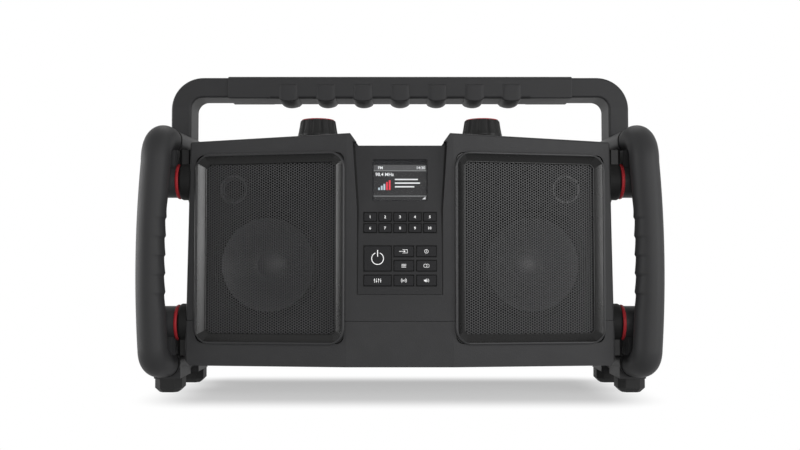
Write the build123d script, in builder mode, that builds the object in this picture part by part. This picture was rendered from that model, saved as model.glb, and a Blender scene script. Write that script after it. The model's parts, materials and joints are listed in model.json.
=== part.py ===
"""Jobsite radio in a roll cage, in millimetres. +Z is up, -Y is the front, origin under the middle of the feet."""

import os
from math import atan2, cos, degrees, radians, sin, tan

from build123d import *

os.makedirs("parts", exist_ok=True)

# ---- Case -------------------------------------------------------------------------------------------
front_y = -96.9  # flat middle of the front
middle_half_width = 52.0  # half width of that flat middle
shoulder_y = -79.4  # where the swept-back front meets the side
back_y = 88.0
base_half_width = 212.0
side_taper = 4.0  # how much narrower each side is at the top
waist_taper = 1.0  # and at the parting line
top_half_width = base_half_width - side_taper
waist_half_width = base_half_width - waist_taper
base_z = 30.0
parting_z = 74.0
parting_gap = 0.4
top_outer_z = 250.6
top_inner_z = 257.5
valley_z = 246.0  # top of the case between the two speaker blocks
valley_half_width = 40.6
block_half_width = 48.9  # where a speaker block's top begins
case_wall = 3.0
case_round = 2.0
back_round = 9.0
shoulder_round = 3.0
shell_split_y = 50.0  # joint of front housing and rear cover
base_chamfer = 5.0
fit_gap = 0.3  # clearance between pieces that are put together
sweep_angle = degrees(atan2(shoulder_y - front_y, base_half_width - middle_half_width))

# ---- Speakers (u along the swept front from its inner edge, v = height) -------------------------------
mesh_inner_gap = 11.8  # from the flat middle to the grille opening
mesh_outer_gap = 19.75  # from the opening to the side of the case
mesh_u = (mesh_inner_gap, (base_half_width - middle_half_width) / cos(radians(sweep_angle)) - mesh_outer_gap)
mesh_low_v = 61.5
mesh_high_inner_v = 229.6
mesh_slant = 1.8  # how much lower the opening's upper edge is outside
mesh_high_outer_v = mesh_high_inner_v - mesh_slant
mesh_corner = 5.0
bevel_width = 7.4
bevel_corner = 9.0
rim_width = 2.8
rim_corner = 16.0
rim_height = 3.0
neck_wall = 2.0
neck_depth = 6.0
mesh_step_depth = 4.6  # where the bevel ends in front of the grille
grille_sheet = 1.2
grille_overlap = 4.0
baffle_depth = 13.0
baffle_margin = 11.0
air_depth = 9.4
woofer_outer_gap = 60.2  # from the opening's outer edge to the woofer's axis
woofer_u = mesh_u[1] - woofer_outer_gap
woofer_rise = 67.5  # from the opening's lower edge to the woofer's axis
woofer_v = mesh_low_v + woofer_rise
woofer_hole = 54.5
woofer_flange = 61.0
tweeter_outer_gap = 25.7
tweeter_u = mesh_u[1] - tweeter_outer_gap
tweeter_drop = 25.6  # from the opening's upper edge to the tweeter's axis
tweeter_v = mesh_high_inner_v - tweeter_drop
tweeter_hole = 15.0
tweeter_flange = 19.5
cone_edge = 46.0
cone_travel = 2.0
magnet_top = -47.0
magnet_bottom = -66.0
magnet_radius = 40.0
coil_slot_outer = 14.2
coil_slot_inner = 11.8
coil_outer = 13.4
coil_inner = 12.4
coil_bottom = -56.0
air_margin = 1.0

# ---- Control panel ----------------------------------------------------------------------------------
panel_low_z = 100.0
panel_knee_z = 158.0  # the panel leans back above this height
panel_half_width = 41.7
panel_flare_z = 183.0
panel_top_half_width = 46.2
panel_setback = 6.0  # how far its top edge lies behind its knee
panel_wall = 3.0
collar_wall = 2.5
collar_depth = 13.0
board_depth = 13.0  # from the panel's face to the board's front
board_sheet = 1.6
panel_lean = degrees(atan2(panel_setback, valley_z - panel_knee_z))

skirt_wall = 2.0
board_width = 78.0
board_upper = (3.0, 83.0)  # lower and upper edge, measured along the panel from its knee
board_lower = (-57.5, -1.5)
board_post_radius = 2.2
stem_size = 3.0

display_centre_z = 211.5
display_corner = 1.5
display_width = 54.0
display_height = 41.0
window_recess = 1.0
module_depth = 4.0
module_margin = 3.0  # how much wider and higher than the window the display module is
module_step = 8.0  # how much narrower and lower than the window its back is

button_gap = 0.35
button_corner = 1.0
button_edge = 0.5
button_rise = 0.8
button_travel = 1.2
button_flange = 1.0
button_flange_sheet = 1.2
preset_width = 11.8
preset_height = 8.2
preset_pitch_x = 14.5
preset_rows_z = (175.4, 164.5)
power_width = 26.0
power_height = 24.0
key_width = 18.6
key_height = 10.0
left_column_x = -21.7
key_columns_x = (3.7, 25.6)
key_rows_z = (142.0, 128.0, 113.7)
power_z = 135.0
switch_size = 6.0
switch_height = 3.5

# ---- Knobs ------------------------------------------------------------------------------------------
knob_x = 83.0
knob_y = -59.5
knob_top_radius = 17.6
knob_foot_radius = 20.3
knob_flare_z = 263.0
knob_foot_z = 257.6
knob_top_z = 274.5
flute_count = 12
flute_radius = 3.2
flute_offset = 1.6
knob_edge = 1.2
shaft_top_z = 271.0
knob_seat_z = 257.2
shaft_radius = 3.0
shaft_play = 0.05
bush_radius = 4.5
encoder_size = 15.0
encoder_height = 8.0

# ---- Roll cage --------------------------------------------------------------------------------------
cage_half_depth = 85.5  # centre planes of the front and rear bars
tube_radius = 14.3
core_radius = 9.0
elbow_radius = 27.0
cage_low_z = 31.0
cage_high_z = 253.0
front_bar_gap = 23.0  # from the case's side to the axes of the cage's tubes
rear_bar_gap = 16.0
front_seam_x = base_half_width + front_bar_gap
rear_seam_x = base_half_width + rear_bar_gap
bow_lean = 8.9  # slope of a front bar where it meets its elbows, in degrees
sleeve_fit = 0.1

handle_top_z = 329.2
handle_bar = 21.2
handle_overhang = 32.6  # how far each post stands out over the case's side
handle_outer_x = base_half_width + handle_overhang
handle_post = 21.3
handle_front_y = -7.5
handle_depth = 40.0
handle_outer_round = 34.0
handle_inner_round = 12.0
handle_edge = 2.5
grip_end_gap = 60.6  # from the handle's outer side to the grip's end
grip_half_length = handle_outer_x - grip_end_gap
grip_wall = 1.2
bump_count = 7
bump_pitch = 39.76
bump_radius = 9.8
bump_swell = 3.2
bump_proud = 1.0
bump_drop = 4.6  # how far a bump's end hangs below the bar

ring_gap = 8.3  # from the case's side to the damping ring
ring_x = base_half_width + ring_gap
ring_width = 3.5
ring_radius = 18.0
case_boss_radius = 19.0
boss_round = 2.5
cage_boss_radius = 16.6
cage_boss_length = 12.2
cage_boss_end_x = ring_x + ring_width + cage_boss_length
mount_heights = (71.0, 213.0)
front_mount_y = -60.5
rear_mount_gap = 34.5  # from the centre planes of the rear bars forward to the rear mounts
rear_mount_y = cage_half_depth - rear_mount_gap
bolt_radius = 4.0
bolt_head_radius = 6.5
bolt_head_height = 5.0
bolt_play = 0.3
nut_height = 4.0
web_half_height = 8.0

foot_y = 40.5
foot_width = 27.4
foot_length = 31.0
foot_height = 14.3
foot_corner = 6.5
foot_bevel = 4.5
saddle_width = 26.6
saddle_shift = 0.6
foot_screw_reach = 24.0
saddle_near_y = 8.4
saddle_far_y = 56.0
foot_screw_radius = 2.5
foot_screw_head = 5.0
foot_screw_recess = 4.0

# ---- Back and inside --------------------------------------------------------------------------------
door_low_z = 92.0
door_high_z = 176.0
door_side_gap = 100.0  # from the side of the case to the door's hinge
door_hinge_x = door_side_gap - top_half_width
door_free_x = 64.0
flap_low_z = 96.0
flap_high_z = 150.0
flap_side_gap = 30.0  # from the side of the case to the flap's hinge
flap_hinge_x = top_half_width - flap_side_gap
flap_width = 94.0
flap_free_x = flap_hinge_x - flap_width
door_sheet = 3.0
barrel_radius = 2.3
pin_radius = 1.0
pin_play = 0.05
ear_length = 6.0
bay_margin = 7.0
battery_depth = 56.0
battery_gap = 0.6
socket_depth = 18.0
aerial_side_gap = 42.0
aerial_hinge_x = top_half_width - aerial_side_gap
aerial_z = 214.0
aerial_length = 190.0
aerial_radius = 4.0
aerial_gap = 0.5
aerial_eye = 6.5
vent_count = 9
vent_pitch = 9.0
vent_height = 22.0
vent_width = 3.5
vent_z = 198.0
vent_x = -70.0
power_post_x = (-70.0, 70.0)
power_post_y = (-50.0, 30.0)
post_radius = 4.0
post_height = 7.0
ear_gap = 0.4
door_corner = 5.0
door_edge = 0.8
pull_inset = 9.0
pull_length = 26.0
pull_width = 7.0
pull_depth = 1.6
bay_wall = 2.5
battery_round = 4.0
socket_recess = 1.5
socket_flange = 4.0
inlet_gap = 28.0  # from the flap's hinge to the inlet, and on to the next sockets
inlet_x = flap_hinge_x - inlet_gap
inlet_width = 21.0
inlet_height = 12.0
inlet_depth = 14.0
contact_spacing = 8.6
contact_radius = 1.2
contact_length = 8.0
usb_x = inlet_x - inlet_gap
usb_width = 12.6
usb_height = 5.2
usb_depth = 12.0
jack_gap = 19.0
jack_x = usb_x - jack_gap
jack_radius = 1.8
jack_spacing = 12.0
jack_depth = 14.0
aerial_eye_width = 8.0
aerial_tip = 3.0
aerial_y = back_y + aerial_gap + aerial_eye_width / 2
stud_radius = 2.5
stud_head = 4.5
stud_head_height = 1.6
cradle_x = 0.0
cradle_width = 8.0
cradle_sheet = 2.5
unit_half_width = 80.0
unit_low_y = -60.0
unit_high_y = 40.0
unit_top_z = base_z + case_wall + post_height + board_sheet
sink_x = 24.0
sink_base = 3.0
sink_pitch = 8.0
sink_fins = 6
sink_fin = 1.8
sink_fin_height = 18.0
sink_margin = 6.0
transformer_width = 46.0
transformer_length = 48.0
transformer_height = 24.0
transformer_front_gap = 10.0
capacitor_radius = 8.0
capacitor_height = 22.0
capacitor_x = (-12.0, 8.0)
bolt_socket = 3.4
nut_x = top_half_width - case_wall - nut_height
screw_radius = 1.9
screw_head = 3.6
screw_socket = 1.8
screw_length = 22.0
screw_head_height = 2.2
screw_sink = 0.6
screw_boss = 5.2
screw_boss_length = 20.0
screw_side_gap = 10.0
screw_edge_gap = 14.6
screw_corner_step = 8.0  # how far the top screws stand in from the side screws
screw_parting_gap = 12.0  # from the parting line up to the lowest screws
screw_top_x = (60.0, top_half_width - screw_side_gap - screw_corner_step)
screw_side_z = (parting_z + screw_parting_gap, 166.0)
screw_places = [
    (side * x, z)
    for side in (-1, 1)
    for x, z in [(top_half_width - screw_side_gap, z) for z in screw_side_z]
    + [(x, top_outer_z - screw_edge_gap) for x in screw_top_x]
]
foot_head_height = 2.4

far = 400.0  # longer than the whole radio, for cutting tools

# ---- Working planes ---------------------------------------------------------------------------------
speaker_plane = Plane(
    origin=(middle_half_width, front_y, 0),
    x_dir=(cos(radians(sweep_angle)), sin(radians(sweep_angle)), 0),
    z_dir=(sin(radians(sweep_angle)), -cos(radians(sweep_angle)), 0),
)
upper_panel = Plane(
    origin=(0, front_y, panel_knee_z),
    x_dir=(1, 0, 0),
    z_dir=(0, -cos(radians(panel_lean)), sin(radians(panel_lean))),
)
lower_panel = Plane(origin=(0, front_y, panel_knee_z), x_dir=(1, 0, 0), z_dir=(0, -1, 0))


def front_plane(y):
    """Plane that faces the front at the given depth, with x to the right and z up."""
    return Plane(origin=(0, y, 0), x_dir=(1, 0, 0), z_dir=(0, -1, 0))


def save(piece, name):
    """Labels a finished piece and writes its file."""
    piece.part.label = name
    export_step(piece.part, f"parts/{name}.step")


def polygon(points, corner=0.0, chamfered=False):
    """Adds a closed outline to the sketch in hand, with all of its corners rounded or cut."""
    face = Polygon(*points, align=None)
    if corner and chamfered:
        chamfer(face.vertices(), corner)
    elif corner:
        fillet(face.vertices(), corner)


def plan_profile(inset):
    """Plan of the case: flat middle, swept-back sides, rounded back corners."""
    outline = [
        (-middle_half_width, front_y),
        (middle_half_width, front_y),
        (base_half_width, shoulder_y),
        (base_half_width, back_y),
        (-base_half_width, back_y),
        (-base_half_width, shoulder_y),
    ]
    with BuildSketch() as plan:
        polygon(outline)
        fillet(plan.vertices().group_by(Axis.Y)[-1], back_round)
        fillet(plan.vertices().filter_by(lambda v: abs(v.Y - shoulder_y) < 1 and v.X != 0), shoulder_round)
        if inset:
            offset(amount=-inset, kind=Kind.INTERSECTION)
    return plan.sketch


def upper_form(inset, floor_z):
    """Solid of the case above the parting line: two speaker blocks with a valley between them."""
    right = [
        (waist_half_width, floor_z),
        (waist_half_width, parting_z),
        (top_half_width, top_outer_z),
        (block_half_width, top_inner_z),
        (valley_half_width, valley_z),
    ]
    with BuildPart() as form:
        with BuildSketch(Plane.XY.offset(floor_z)):
            add(plan_profile(inset))
        extrude(amount=far)
        with BuildSketch(front_plane(0)) as front:
            polygon(right + [(-x, z) for x, z in reversed(right)])
            corners = front.vertices().filter_by(lambda v: abs(v.Y - top_outer_z) < 0.1)
            fillet(corners, case_round)
            if inset:
                offset(amount=-inset, kind=Kind.INTERSECTION)
        extrude(amount=far, both=True, mode=Mode.INTERSECT)
    return form.part


def base_form(inset, roof_z):
    """Solid of the case below the parting line, with chamfered lower side edges."""
    right = [
        (base_half_width, roof_z),
        (base_half_width, base_z + base_chamfer),
        (base_half_width - base_chamfer, base_z),
    ]
    with BuildPart() as form:
        with BuildSketch(Plane.XY.offset(base_z)):
            add(plan_profile(inset))
        extrude(amount=roof_z - base_z)
        with BuildSketch(front_plane(0)):
            polygon(right + [(-x, z) for x, z in reversed(right)])
            if inset:
                offset(amount=-inset, kind=Kind.INTERSECTION)
        extrude(amount=far, both=True, mode=Mode.INTERSECT)
    return form.part


def mesh_outline(margin, corner=mesh_corner, chamfered=False):
    """Adds the grille opening, grown by margin, to the sketch in hand."""
    low_u, high_u = mesh_u
    points = [
        (low_u - margin, mesh_low_v - margin),
        (high_u + margin, mesh_low_v - margin),
        (high_u + margin, mesh_high_outer_v + margin),
        (low_u - margin, mesh_high_inner_v + margin),
    ]
    polygon(points, corner, chamfered)


def panel_profile(top_z):
    """Outline of the control panel, which flares towards its top."""
    right = [
        (panel_half_width, panel_low_z),
        (panel_half_width, panel_flare_z),
        (panel_top_half_width, top_z),
    ]
    return right + [(-x, z) for x, z in reversed(right)]


def turned(points, u, v):
    """Solid of revolution about a driver's axis, from (radius, depth) points of the swept front."""
    centre = speaker_plane.from_local_coords(Vector(u, v, 0))
    half_section = Plane(origin=centre, x_dir=speaker_plane.x_dir, z_dir=-speaker_plane.y_dir)
    with BuildPart() as body:
        with BuildSketch(half_section):
            Polygon(*points, align=None)
        revolve(axis=Axis(centre, speaker_plane.z_dir))
    return body.part


def mirrored(piece):
    """The left-hand twin of a right-hand piece."""
    return piece.part.mirror(Plane.YZ)


board_posts = [(upper_panel, 80, 33), (upper_panel, 38, 33), (lower_panel, -5.5, 34), (lower_panel, -54, 33)]

# ---- Openings cut through the front of the case -------------------------------------------------------
neck_margin = bevel_width - 0.6 + neck_wall
panel_outline = panel_profile(valley_z + case_wall)
upper_case = upper_form(0, parting_z + parting_gap)
upper_cavity = upper_form(case_wall, parting_z - far / 4)
base_case = base_form(0, parting_z)
base_cavity = base_form(case_wall, parting_z + far / 4)

with BuildPart() as speaker_opening:
    with BuildSketch(speaker_plane.offset(rim_height)):
        mesh_outline(neck_margin + fit_gap, mesh_corner + neck_wall)
    extrude(amount=-2 * baffle_depth)
speaker_openings = [speaker_opening.part, mirrored(speaker_opening)]

with BuildPart() as panel_slot:
    with BuildSketch(front_plane(front_y - 1)):
        polygon(panel_outline)
    extrude(amount=-(collar_depth + 1))

with BuildPart() as panel_collar:
    with BuildSketch(front_plane(front_y + case_wall / 2)):
        Polygon(*panel_outline, align=None)
        offset(amount=collar_wall, kind=Kind.INTERSECTION)
    extrude(amount=-(collar_depth - case_wall / 2))
    add(upper_case, mode=Mode.INTERSECT)

with BuildPart() as mount_bolt_holes:
    for height in mount_heights:
        for y in (front_mount_y, rear_mount_y):
            with BuildSketch(Plane(origin=(0, y, height), x_dir=(0, 1, 0), z_dir=(1, 0, 0))):
                Circle(bolt_radius + bolt_play)
            extrude(amount=far, both=True)

# ---- Case shells --------------------------------------------------------------------------------------
with BuildPart() as front_housing:
    add(upper_case)
    split(bisect_by=Plane.XZ.offset(-shell_split_y), keep=Keep.TOP)
    brow = front_housing.edges().filter_by(
        lambda e: abs(e.center().X) > block_half_width
        and e.center().Y < shoulder_y
        and e.center().Z > top_outer_z
    )
    fillet(brow, case_round)
    add(upper_cavity, mode=Mode.SUBTRACT)
    add(panel_collar.part)
    for x in (-knob_x, knob_x):
        with BuildSketch(Plane(origin=(x, knob_y, knob_seat_z))):
            Circle(knob_foot_radius + 1)
        extrude(amount=-2 * case_wall)
    add(panel_slot.part, mode=Mode.SUBTRACT)
    add(speaker_openings, mode=Mode.SUBTRACT)
    add(mount_bolt_holes.part, mode=Mode.SUBTRACT)
    for x in (-knob_x, knob_x):
        with BuildSketch(Plane(origin=(x, knob_y, knob_seat_z))):
            Circle(bush_radius + fit_gap)
        extrude(amount=-3 * case_wall, mode=Mode.SUBTRACT)
save(front_housing, "front_housing")

with BuildPart() as base_housing:
    add(base_case)
    add(base_cavity, mode=Mode.SUBTRACT)
    for x in power_post_x:
        for y in power_post_y:
            with BuildSketch(Plane(origin=(x, y, base_z + case_wall))):
                Circle(post_radius)
            extrude(amount=post_height)
    add(speaker_openings, mode=Mode.SUBTRACT)
    add(mount_bolt_holes.part, mode=Mode.SUBTRACT)
save(base_housing, "base_housing")

# ---- Speakers -----------------------------------------------------------------------------------------
with BuildPart() as speaker_frame_right:
    with BuildSketch(speaker_plane):
        mesh_outline(bevel_width + rim_width, rim_corner)
    extrude(amount=rim_height)
    chamfer(speaker_frame_right.faces().sort_by(Axis(speaker_plane.origin, speaker_plane.z_dir))[-1].edges(), 1)
    with BuildSketch(speaker_plane):
        mesh_outline(neck_margin, mesh_corner + neck_wall)
    extrude(amount=-neck_depth)
    with BuildSketch(speaker_plane.offset(rim_height)):
        mesh_outline(bevel_width, bevel_corner, chamfered=True)
    with BuildSketch(speaker_plane.offset(-mesh_step_depth)):
        mesh_outline(0, mesh_corner, chamfered=True)
    loft(mode=Mode.SUBTRACT)
    with BuildSketch(speaker_plane):
        mesh_outline(0, mesh_corner, chamfered=True)
    extrude(amount=-neck_depth, mode=Mode.SUBTRACT)
save(speaker_frame_right, "speaker_frame_right")

with BuildPart() as grille_right:
    with BuildSketch(speaker_plane.offset(-neck_depth)):
        mesh_outline(grille_overlap)
    extrude(amount=-grille_sheet)
save(grille_right, "grille_right")

with BuildPart() as baffle:
    with BuildSketch(speaker_plane.offset(-case_wall)):
        mesh_outline(baffle_margin)
    extrude(amount=case_wall - baffle_depth)
    pockets = [
        (neck_margin + fit_gap, mesh_corner + neck_wall, case_wall, neck_depth),
        (grille_overlap + fit_gap, mesh_corner, neck_depth, neck_depth + grille_sheet),
        (air_margin, mesh_corner, neck_depth + grille_sheet, air_depth),
    ]
    for margin, corner, near, far_side in pockets:
        with BuildSketch(speaker_plane.offset(-near)):
            mesh_outline(margin, corner)
        extrude(amount=near - far_side, mode=Mode.SUBTRACT)
    with BuildSketch(speaker_plane):
        with Locations((woofer_u, woofer_v)):
            Circle(woofer_hole)
        with Locations((tweeter_u, tweeter_v)):
            Circle(tweeter_hole)
    extrude(amount=-baffle_depth, mode=Mode.SUBTRACT)
with BuildPart() as speaker_baffles:
    add([baffle.part, mirrored(baffle)])
save(speaker_baffles, "speaker_baffles")

basket_section = [
    (50.5, -baffle_depth),
    (woofer_flange, -baffle_depth),
    (woofer_flange, -16.5),
    (56.0, -16.5),
    (38.5, -44.5),
    (38.5, magnet_top),
    (coil_slot_outer, magnet_top),
    (coil_slot_outer, -44.5),
    (36.0, -44.5),
    (50.5, -18.0),
]
magnet_section = [
    (0.0, magnet_bottom),
    (magnet_radius, magnet_bottom),
    (magnet_radius, magnet_top),
    (coil_slot_outer, magnet_top),
    (coil_slot_outer, magnet_bottom + 3),
    (coil_slot_inner, magnet_bottom + 3),
    (coil_slot_inner, -44.5),
    (0.0, -44.5),
]
cone_section = [
    (cone_edge, -12.0),
    (coil_outer + 0.2, -33.2),
    (9.0, -30.0),
    (0.0, -28.4),
    (0.0, -29.6),
    (8.6, -31.2),
    (coil_inner, -34.2),
    (coil_inner, coil_bottom),
    (coil_outer, coil_bottom),
    (coil_outer, -36.4),
    (cone_edge, -13.6),
]
surround_section = [
    (cone_edge + 0.5, -12.6),
    (cone_edge + 1.3, -10.4),
    (50.2, -9.4),
    (53.0, -10.4),
    (woofer_hole - 0.5, -baffle_depth),
    (51.2, -baffle_depth),
    (50.9, -11.6),
    (50.2, -11.0),
    (48.2, -11.6),
    (cone_edge + 1.4, -12.8),
]
tweeter_section = [
    (0.0, -30.0),
    (17.0, -30.0),
    (17.0, -15.2),
    (tweeter_flange, -15.2),
    (tweeter_flange, -baffle_depth),
    (tweeter_hole - 0.4, -baffle_depth),
    (tweeter_hole - 0.8, -11.4),
    (12.0, -11.4),
    (9.5, -12.8),
    (9.2, -12.2),
    (6.5, -10.4),
    (0.0, -9.6),
]

with BuildPart() as woofer_right:
    add(turned(basket_section, woofer_u, woofer_v))
    add(turned(magnet_section, woofer_u, woofer_v))
save(woofer_right, "woofer_right")

with BuildPart() as woofer_cone_right:
    add(turned(cone_section, woofer_u, woofer_v))
save(woofer_cone_right, "woofer_cone_right")

with BuildPart() as surround:
    add(turned(surround_section, woofer_u, woofer_v))
with BuildPart() as woofer_surrounds:
    add([surround.part, mirrored(surround)])
save(woofer_surrounds, "woofer_surrounds")

with BuildPart() as tweeter:
    add(turned(tweeter_section, tweeter_u, tweeter_v))
with BuildPart() as tweeters:
    add([tweeter.part, mirrored(tweeter)])
save(tweeters, "tweeters")

for name, piece in [
    ("speaker_frame", speaker_frame_right),
    ("grille", grille_right),
    ("woofer", woofer_right),
    ("woofer_cone", woofer_cone_right),
]:
    with BuildPart() as left_piece:
        add(mirrored(piece))
    save(left_piece, f"{name}_left")

# ---- Control panel ------------------------------------------------------------------------------------
keys = [("power_button", lower_panel, left_column_x, power_z, power_width, power_height)]
keys.append(("equaliser_button", lower_panel, left_column_x, key_rows_z[2], power_width, key_height))
key_names = [("source_button", "info_button"), ("menu_button", "stereo_button"), ("surround_button", "loudness_button")]
for z, names in zip(key_rows_z, key_names):
    for x, name in zip(key_columns_x, names):
        keys.append((name, lower_panel, x, z, key_width, key_height))
for row, z in enumerate(preset_rows_z):
    for column in range(5):
        x = (column - 2) * preset_pitch_x
        keys.append((f"preset_button_{row * 5 + column + 1:02d}", upper_panel, x, z, preset_width, preset_height))


def height_on(plane, z):
    """Distance up a panel plane from its knee to the height z."""
    return (z - panel_knee_z) / plane.y_dir.Z


with BuildPart() as panel_core:
    with BuildSketch(front_plane(front_y + panel_wall)):
        Polygon(*panel_profile(valley_z), align=None)
        offset(amount=-(fit_gap + skirt_wall), kind=Kind.INTERSECTION)
    extrude(amount=-collar_depth)
    with BuildSketch(upper_panel):
        Rectangle(far, far, align=(Align.CENTER, Align.MIN))
    extrude(amount=-panel_wall, mode=Mode.SUBTRACT)

with BuildPart() as control_panel:
    with BuildSketch(front_plane(front_y)):
        Polygon(*panel_profile(valley_z), align=None)
        offset(amount=-fit_gap, kind=Kind.INTERSECTION)
    extrude(amount=-(collar_depth - fit_gap))
    with BuildSketch(upper_panel):
        Rectangle(far, far, align=(Align.CENTER, Align.MIN))
    extrude(amount=2 * panel_setback, mode=Mode.SUBTRACT)
    add(panel_core.part, mode=Mode.SUBTRACT)
    for plane, height, x in board_posts:
        with BuildSketch(plane.offset(-board_depth)):
            with Locations((x, height), (-x, height)):
                Circle(board_post_radius)
        extrude(amount=board_depth - panel_wall / 2)
    for _, plane, x, z, width, height in keys:
        with BuildSketch(plane):
            with Locations((x, height_on(plane, z))):
                Rectangle(width + 2 * button_gap, height + 2 * button_gap)
        extrude(amount=-panel_wall, mode=Mode.SUBTRACT)
    with BuildSketch(upper_panel):
        with Locations((0, height_on(upper_panel, display_centre_z))):
            RectangleRounded(display_width, display_height, display_corner)
    extrude(amount=-panel_wall, mode=Mode.SUBTRACT)
save(control_panel, "control_panel")

with BuildPart() as display_window:
    with BuildSketch(upper_panel.offset(-panel_wall)):
        with Locations((0, height_on(upper_panel, display_centre_z))):
            RectangleRounded(display_width - fit_gap, display_height - fit_gap, display_corner)
    extrude(amount=panel_wall - window_recess)
save(display_window, "display_window")

with BuildPart() as display_module:
    with BuildSketch(upper_panel.offset(-panel_wall)):
        with Locations((0, height_on(upper_panel, display_centre_z))):
            Rectangle(display_width + module_margin, display_height + module_margin)
    extrude(amount=-module_depth)
    with BuildSketch(upper_panel.offset(-panel_wall - module_depth)):
        with Locations((0, height_on(upper_panel, display_centre_z))):
            Rectangle(display_width - module_step, display_height - module_step)
    extrude(amount=panel_wall + module_depth - board_depth)
save(display_module, "display_module")

with BuildPart() as main_board:
    with BuildSketch(upper_panel.offset(-board_depth)):
        with Locations((0, (board_upper[0] + board_upper[1]) / 2)):
            Rectangle(board_width, board_upper[1] - board_upper[0])
    extrude(amount=-board_sheet)
    with BuildSketch(lower_panel.offset(-board_depth)):
        with Locations((0, (board_lower[0] + board_lower[1]) / 2)):
            Rectangle(board_width, board_lower[1] - board_lower[0])
    extrude(amount=-board_sheet)
    for _, plane, x, z, _, _ in keys:
        with BuildSketch(plane.offset(-board_depth)):
            with Locations((x, height_on(plane, z))):
                Rectangle(switch_size, switch_size)
        extrude(amount=switch_height)
save(main_board, "main_board")

stem_end = board_depth - switch_height - button_travel - fit_gap
for name, plane, x, z, width, height in keys:
    with BuildPart() as button:
        centre = (x, height_on(plane, z))
        with BuildSketch(plane.offset(button_rise)):
            with Locations(centre):
                RectangleRounded(width, height, button_corner)
        extrude(amount=-(button_rise + panel_wall + fit_gap))
        face_rim = button.faces().sort_by(Axis(plane.origin, plane.z_dir))[-1].edges()
        fillet(face_rim, button_edge)
        with BuildSketch(plane.offset(-panel_wall - fit_gap)):
            with Locations(centre):
                Rectangle(width + 2 * button_flange, height + 2 * button_flange)
        extrude(amount=-button_flange_sheet)
        with BuildSketch(plane.offset(-panel_wall - fit_gap)):
            with Locations(centre):
                Rectangle(stem_size, stem_size)
        extrude(amount=panel_wall + fit_gap - stem_end)
    save(button, name)

# ---- Knobs --------------------------------------------------------------------------------------------
def knob(x):
    """A fluted knob that widens towards its foot, with a blind hole for the shaft."""
    section = [
        (0, knob_foot_z),
        (knob_foot_radius, knob_foot_z),
        (knob_foot_radius, knob_flare_z - 2),
        (knob_top_radius + 0.8, knob_flare_z + 2),
        (knob_top_radius, knob_top_z),
        (0, knob_top_z),
    ]
    with BuildPart() as body:
        with BuildSketch(Plane(origin=(x, knob_y, 0), x_dir=(1, 0, 0), z_dir=(0, -1, 0))):
            Polygon(*section, align=None)
        revolve(axis=Axis((x, knob_y, 0), (0, 0, 1)))
        fillet(body.edges().group_by(Axis.Z)[-1], knob_edge)
        with BuildSketch(Plane(origin=(x, knob_y, knob_flare_z - 1))):
            with PolarLocations(knob_top_radius + flute_offset, flute_count):
                Circle(flute_radius)
        extrude(amount=knob_top_z, mode=Mode.SUBTRACT)
        with BuildSketch(Plane(origin=(x, knob_y, knob_foot_z))):
            Circle(shaft_radius)
        extrude(amount=shaft_top_z - knob_foot_z, mode=Mode.SUBTRACT)
    return body.part


encoder_top_z = knob_seat_z - 2 * case_wall
for x, knob_name, shaft_name in [(-knob_x, "volume_knob", "volume_shaft"), (knob_x, "tuning_knob", "tuning_shaft")]:
    with BuildPart() as turning_knob:
        add(knob(x))
    save(turning_knob, knob_name)
    with BuildPart() as shaft:
        with BuildSketch(Plane(origin=(x, knob_y, encoder_top_z - encoder_height + 2))):
            Circle(shaft_radius)
        extrude(amount=shaft_top_z - (encoder_top_z - encoder_height + 2))
    save(shaft, shaft_name)

with BuildPart() as encoders:
    for x in (-knob_x, knob_x):
        with BuildSketch(Plane(origin=(x, knob_y, encoder_top_z))):
            Rectangle(encoder_size, encoder_size)
        extrude(amount=-encoder_height)
        with BuildSketch(Plane(origin=(x, knob_y, encoder_top_z))):
            Circle(bush_radius)
        extrude(amount=knob_seat_z - encoder_top_z)
        with BuildSketch(Plane(origin=(x, knob_y, knob_seat_z))):
            Circle(shaft_radius + shaft_play)
        extrude(amount=-(knob_seat_z - encoder_top_z + encoder_height - 2 + shaft_play), mode=Mode.SUBTRACT)
save(encoders, "encoders")

# ---- Roll cage ----------------------------------------------------------------------------------------
def bar_tube(end, seam_x, lean, radius):
    """A cage bar with its two elbows: end is -1 in front and 1 at the rear, lean bows it outwards."""
    mid_z = (cage_low_z + cage_high_z) / 2
    half_height = (cage_high_z - cage_low_z) / 2
    seam_y = end * (cage_half_depth - elbow_radius)
    run = half_height - elbow_radius * cos(radians(lean))

    def elbow(turn, side):
        drop = elbow_radius * (1 - cos(radians(turn)))
        return (
            seam_x + drop * sin(radians(lean)),
            seam_y + end * elbow_radius * sin(radians(turn)),
            mid_z + side * (half_height - drop * cos(radians(lean))),
        )

    knee_high, knee_low = elbow(90, 1), elbow(90, -1)
    with BuildPart() as tube:
        with BuildLine() as path:
            ThreePointArc(elbow(0, 1), elbow(45, 1), knee_high)
            if lean:
                bulge_x = knee_high[0] + run * tan(radians(lean / 2))
                ThreePointArc(knee_high, (bulge_x, knee_high[1], mid_z), knee_low)
            else:
                Line(knee_high, knee_low)
            ThreePointArc(knee_low, elbow(45, -1), elbow(0, -1))
        with BuildSketch(Plane(origin=elbow(0, 1), z_dir=(0, end, 0))):
            Circle(radius)
        sweep(path=path.line)
    return tube.part


def connector(z, radius):
    """Tube that joins the front and rear bars, closing in slightly towards the rear."""
    seam_y = cage_half_depth - elbow_radius
    with BuildPart() as tube:
        with BuildSketch(front_plane(-seam_y)):
            with Locations((front_seam_x, z)):
                Circle(radius)
        with BuildSketch(front_plane(seam_y)):
            with Locations((rear_seam_x, z)):
                Circle(radius)
        loft()
    return tube.part


def connector_x(y):
    """Where a connector's axis runs at a given depth."""
    seam_y = cage_half_depth - elbow_radius
    return front_seam_x + (rear_seam_x - front_seam_x) * (y + seam_y) / (2 * seam_y)


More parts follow.
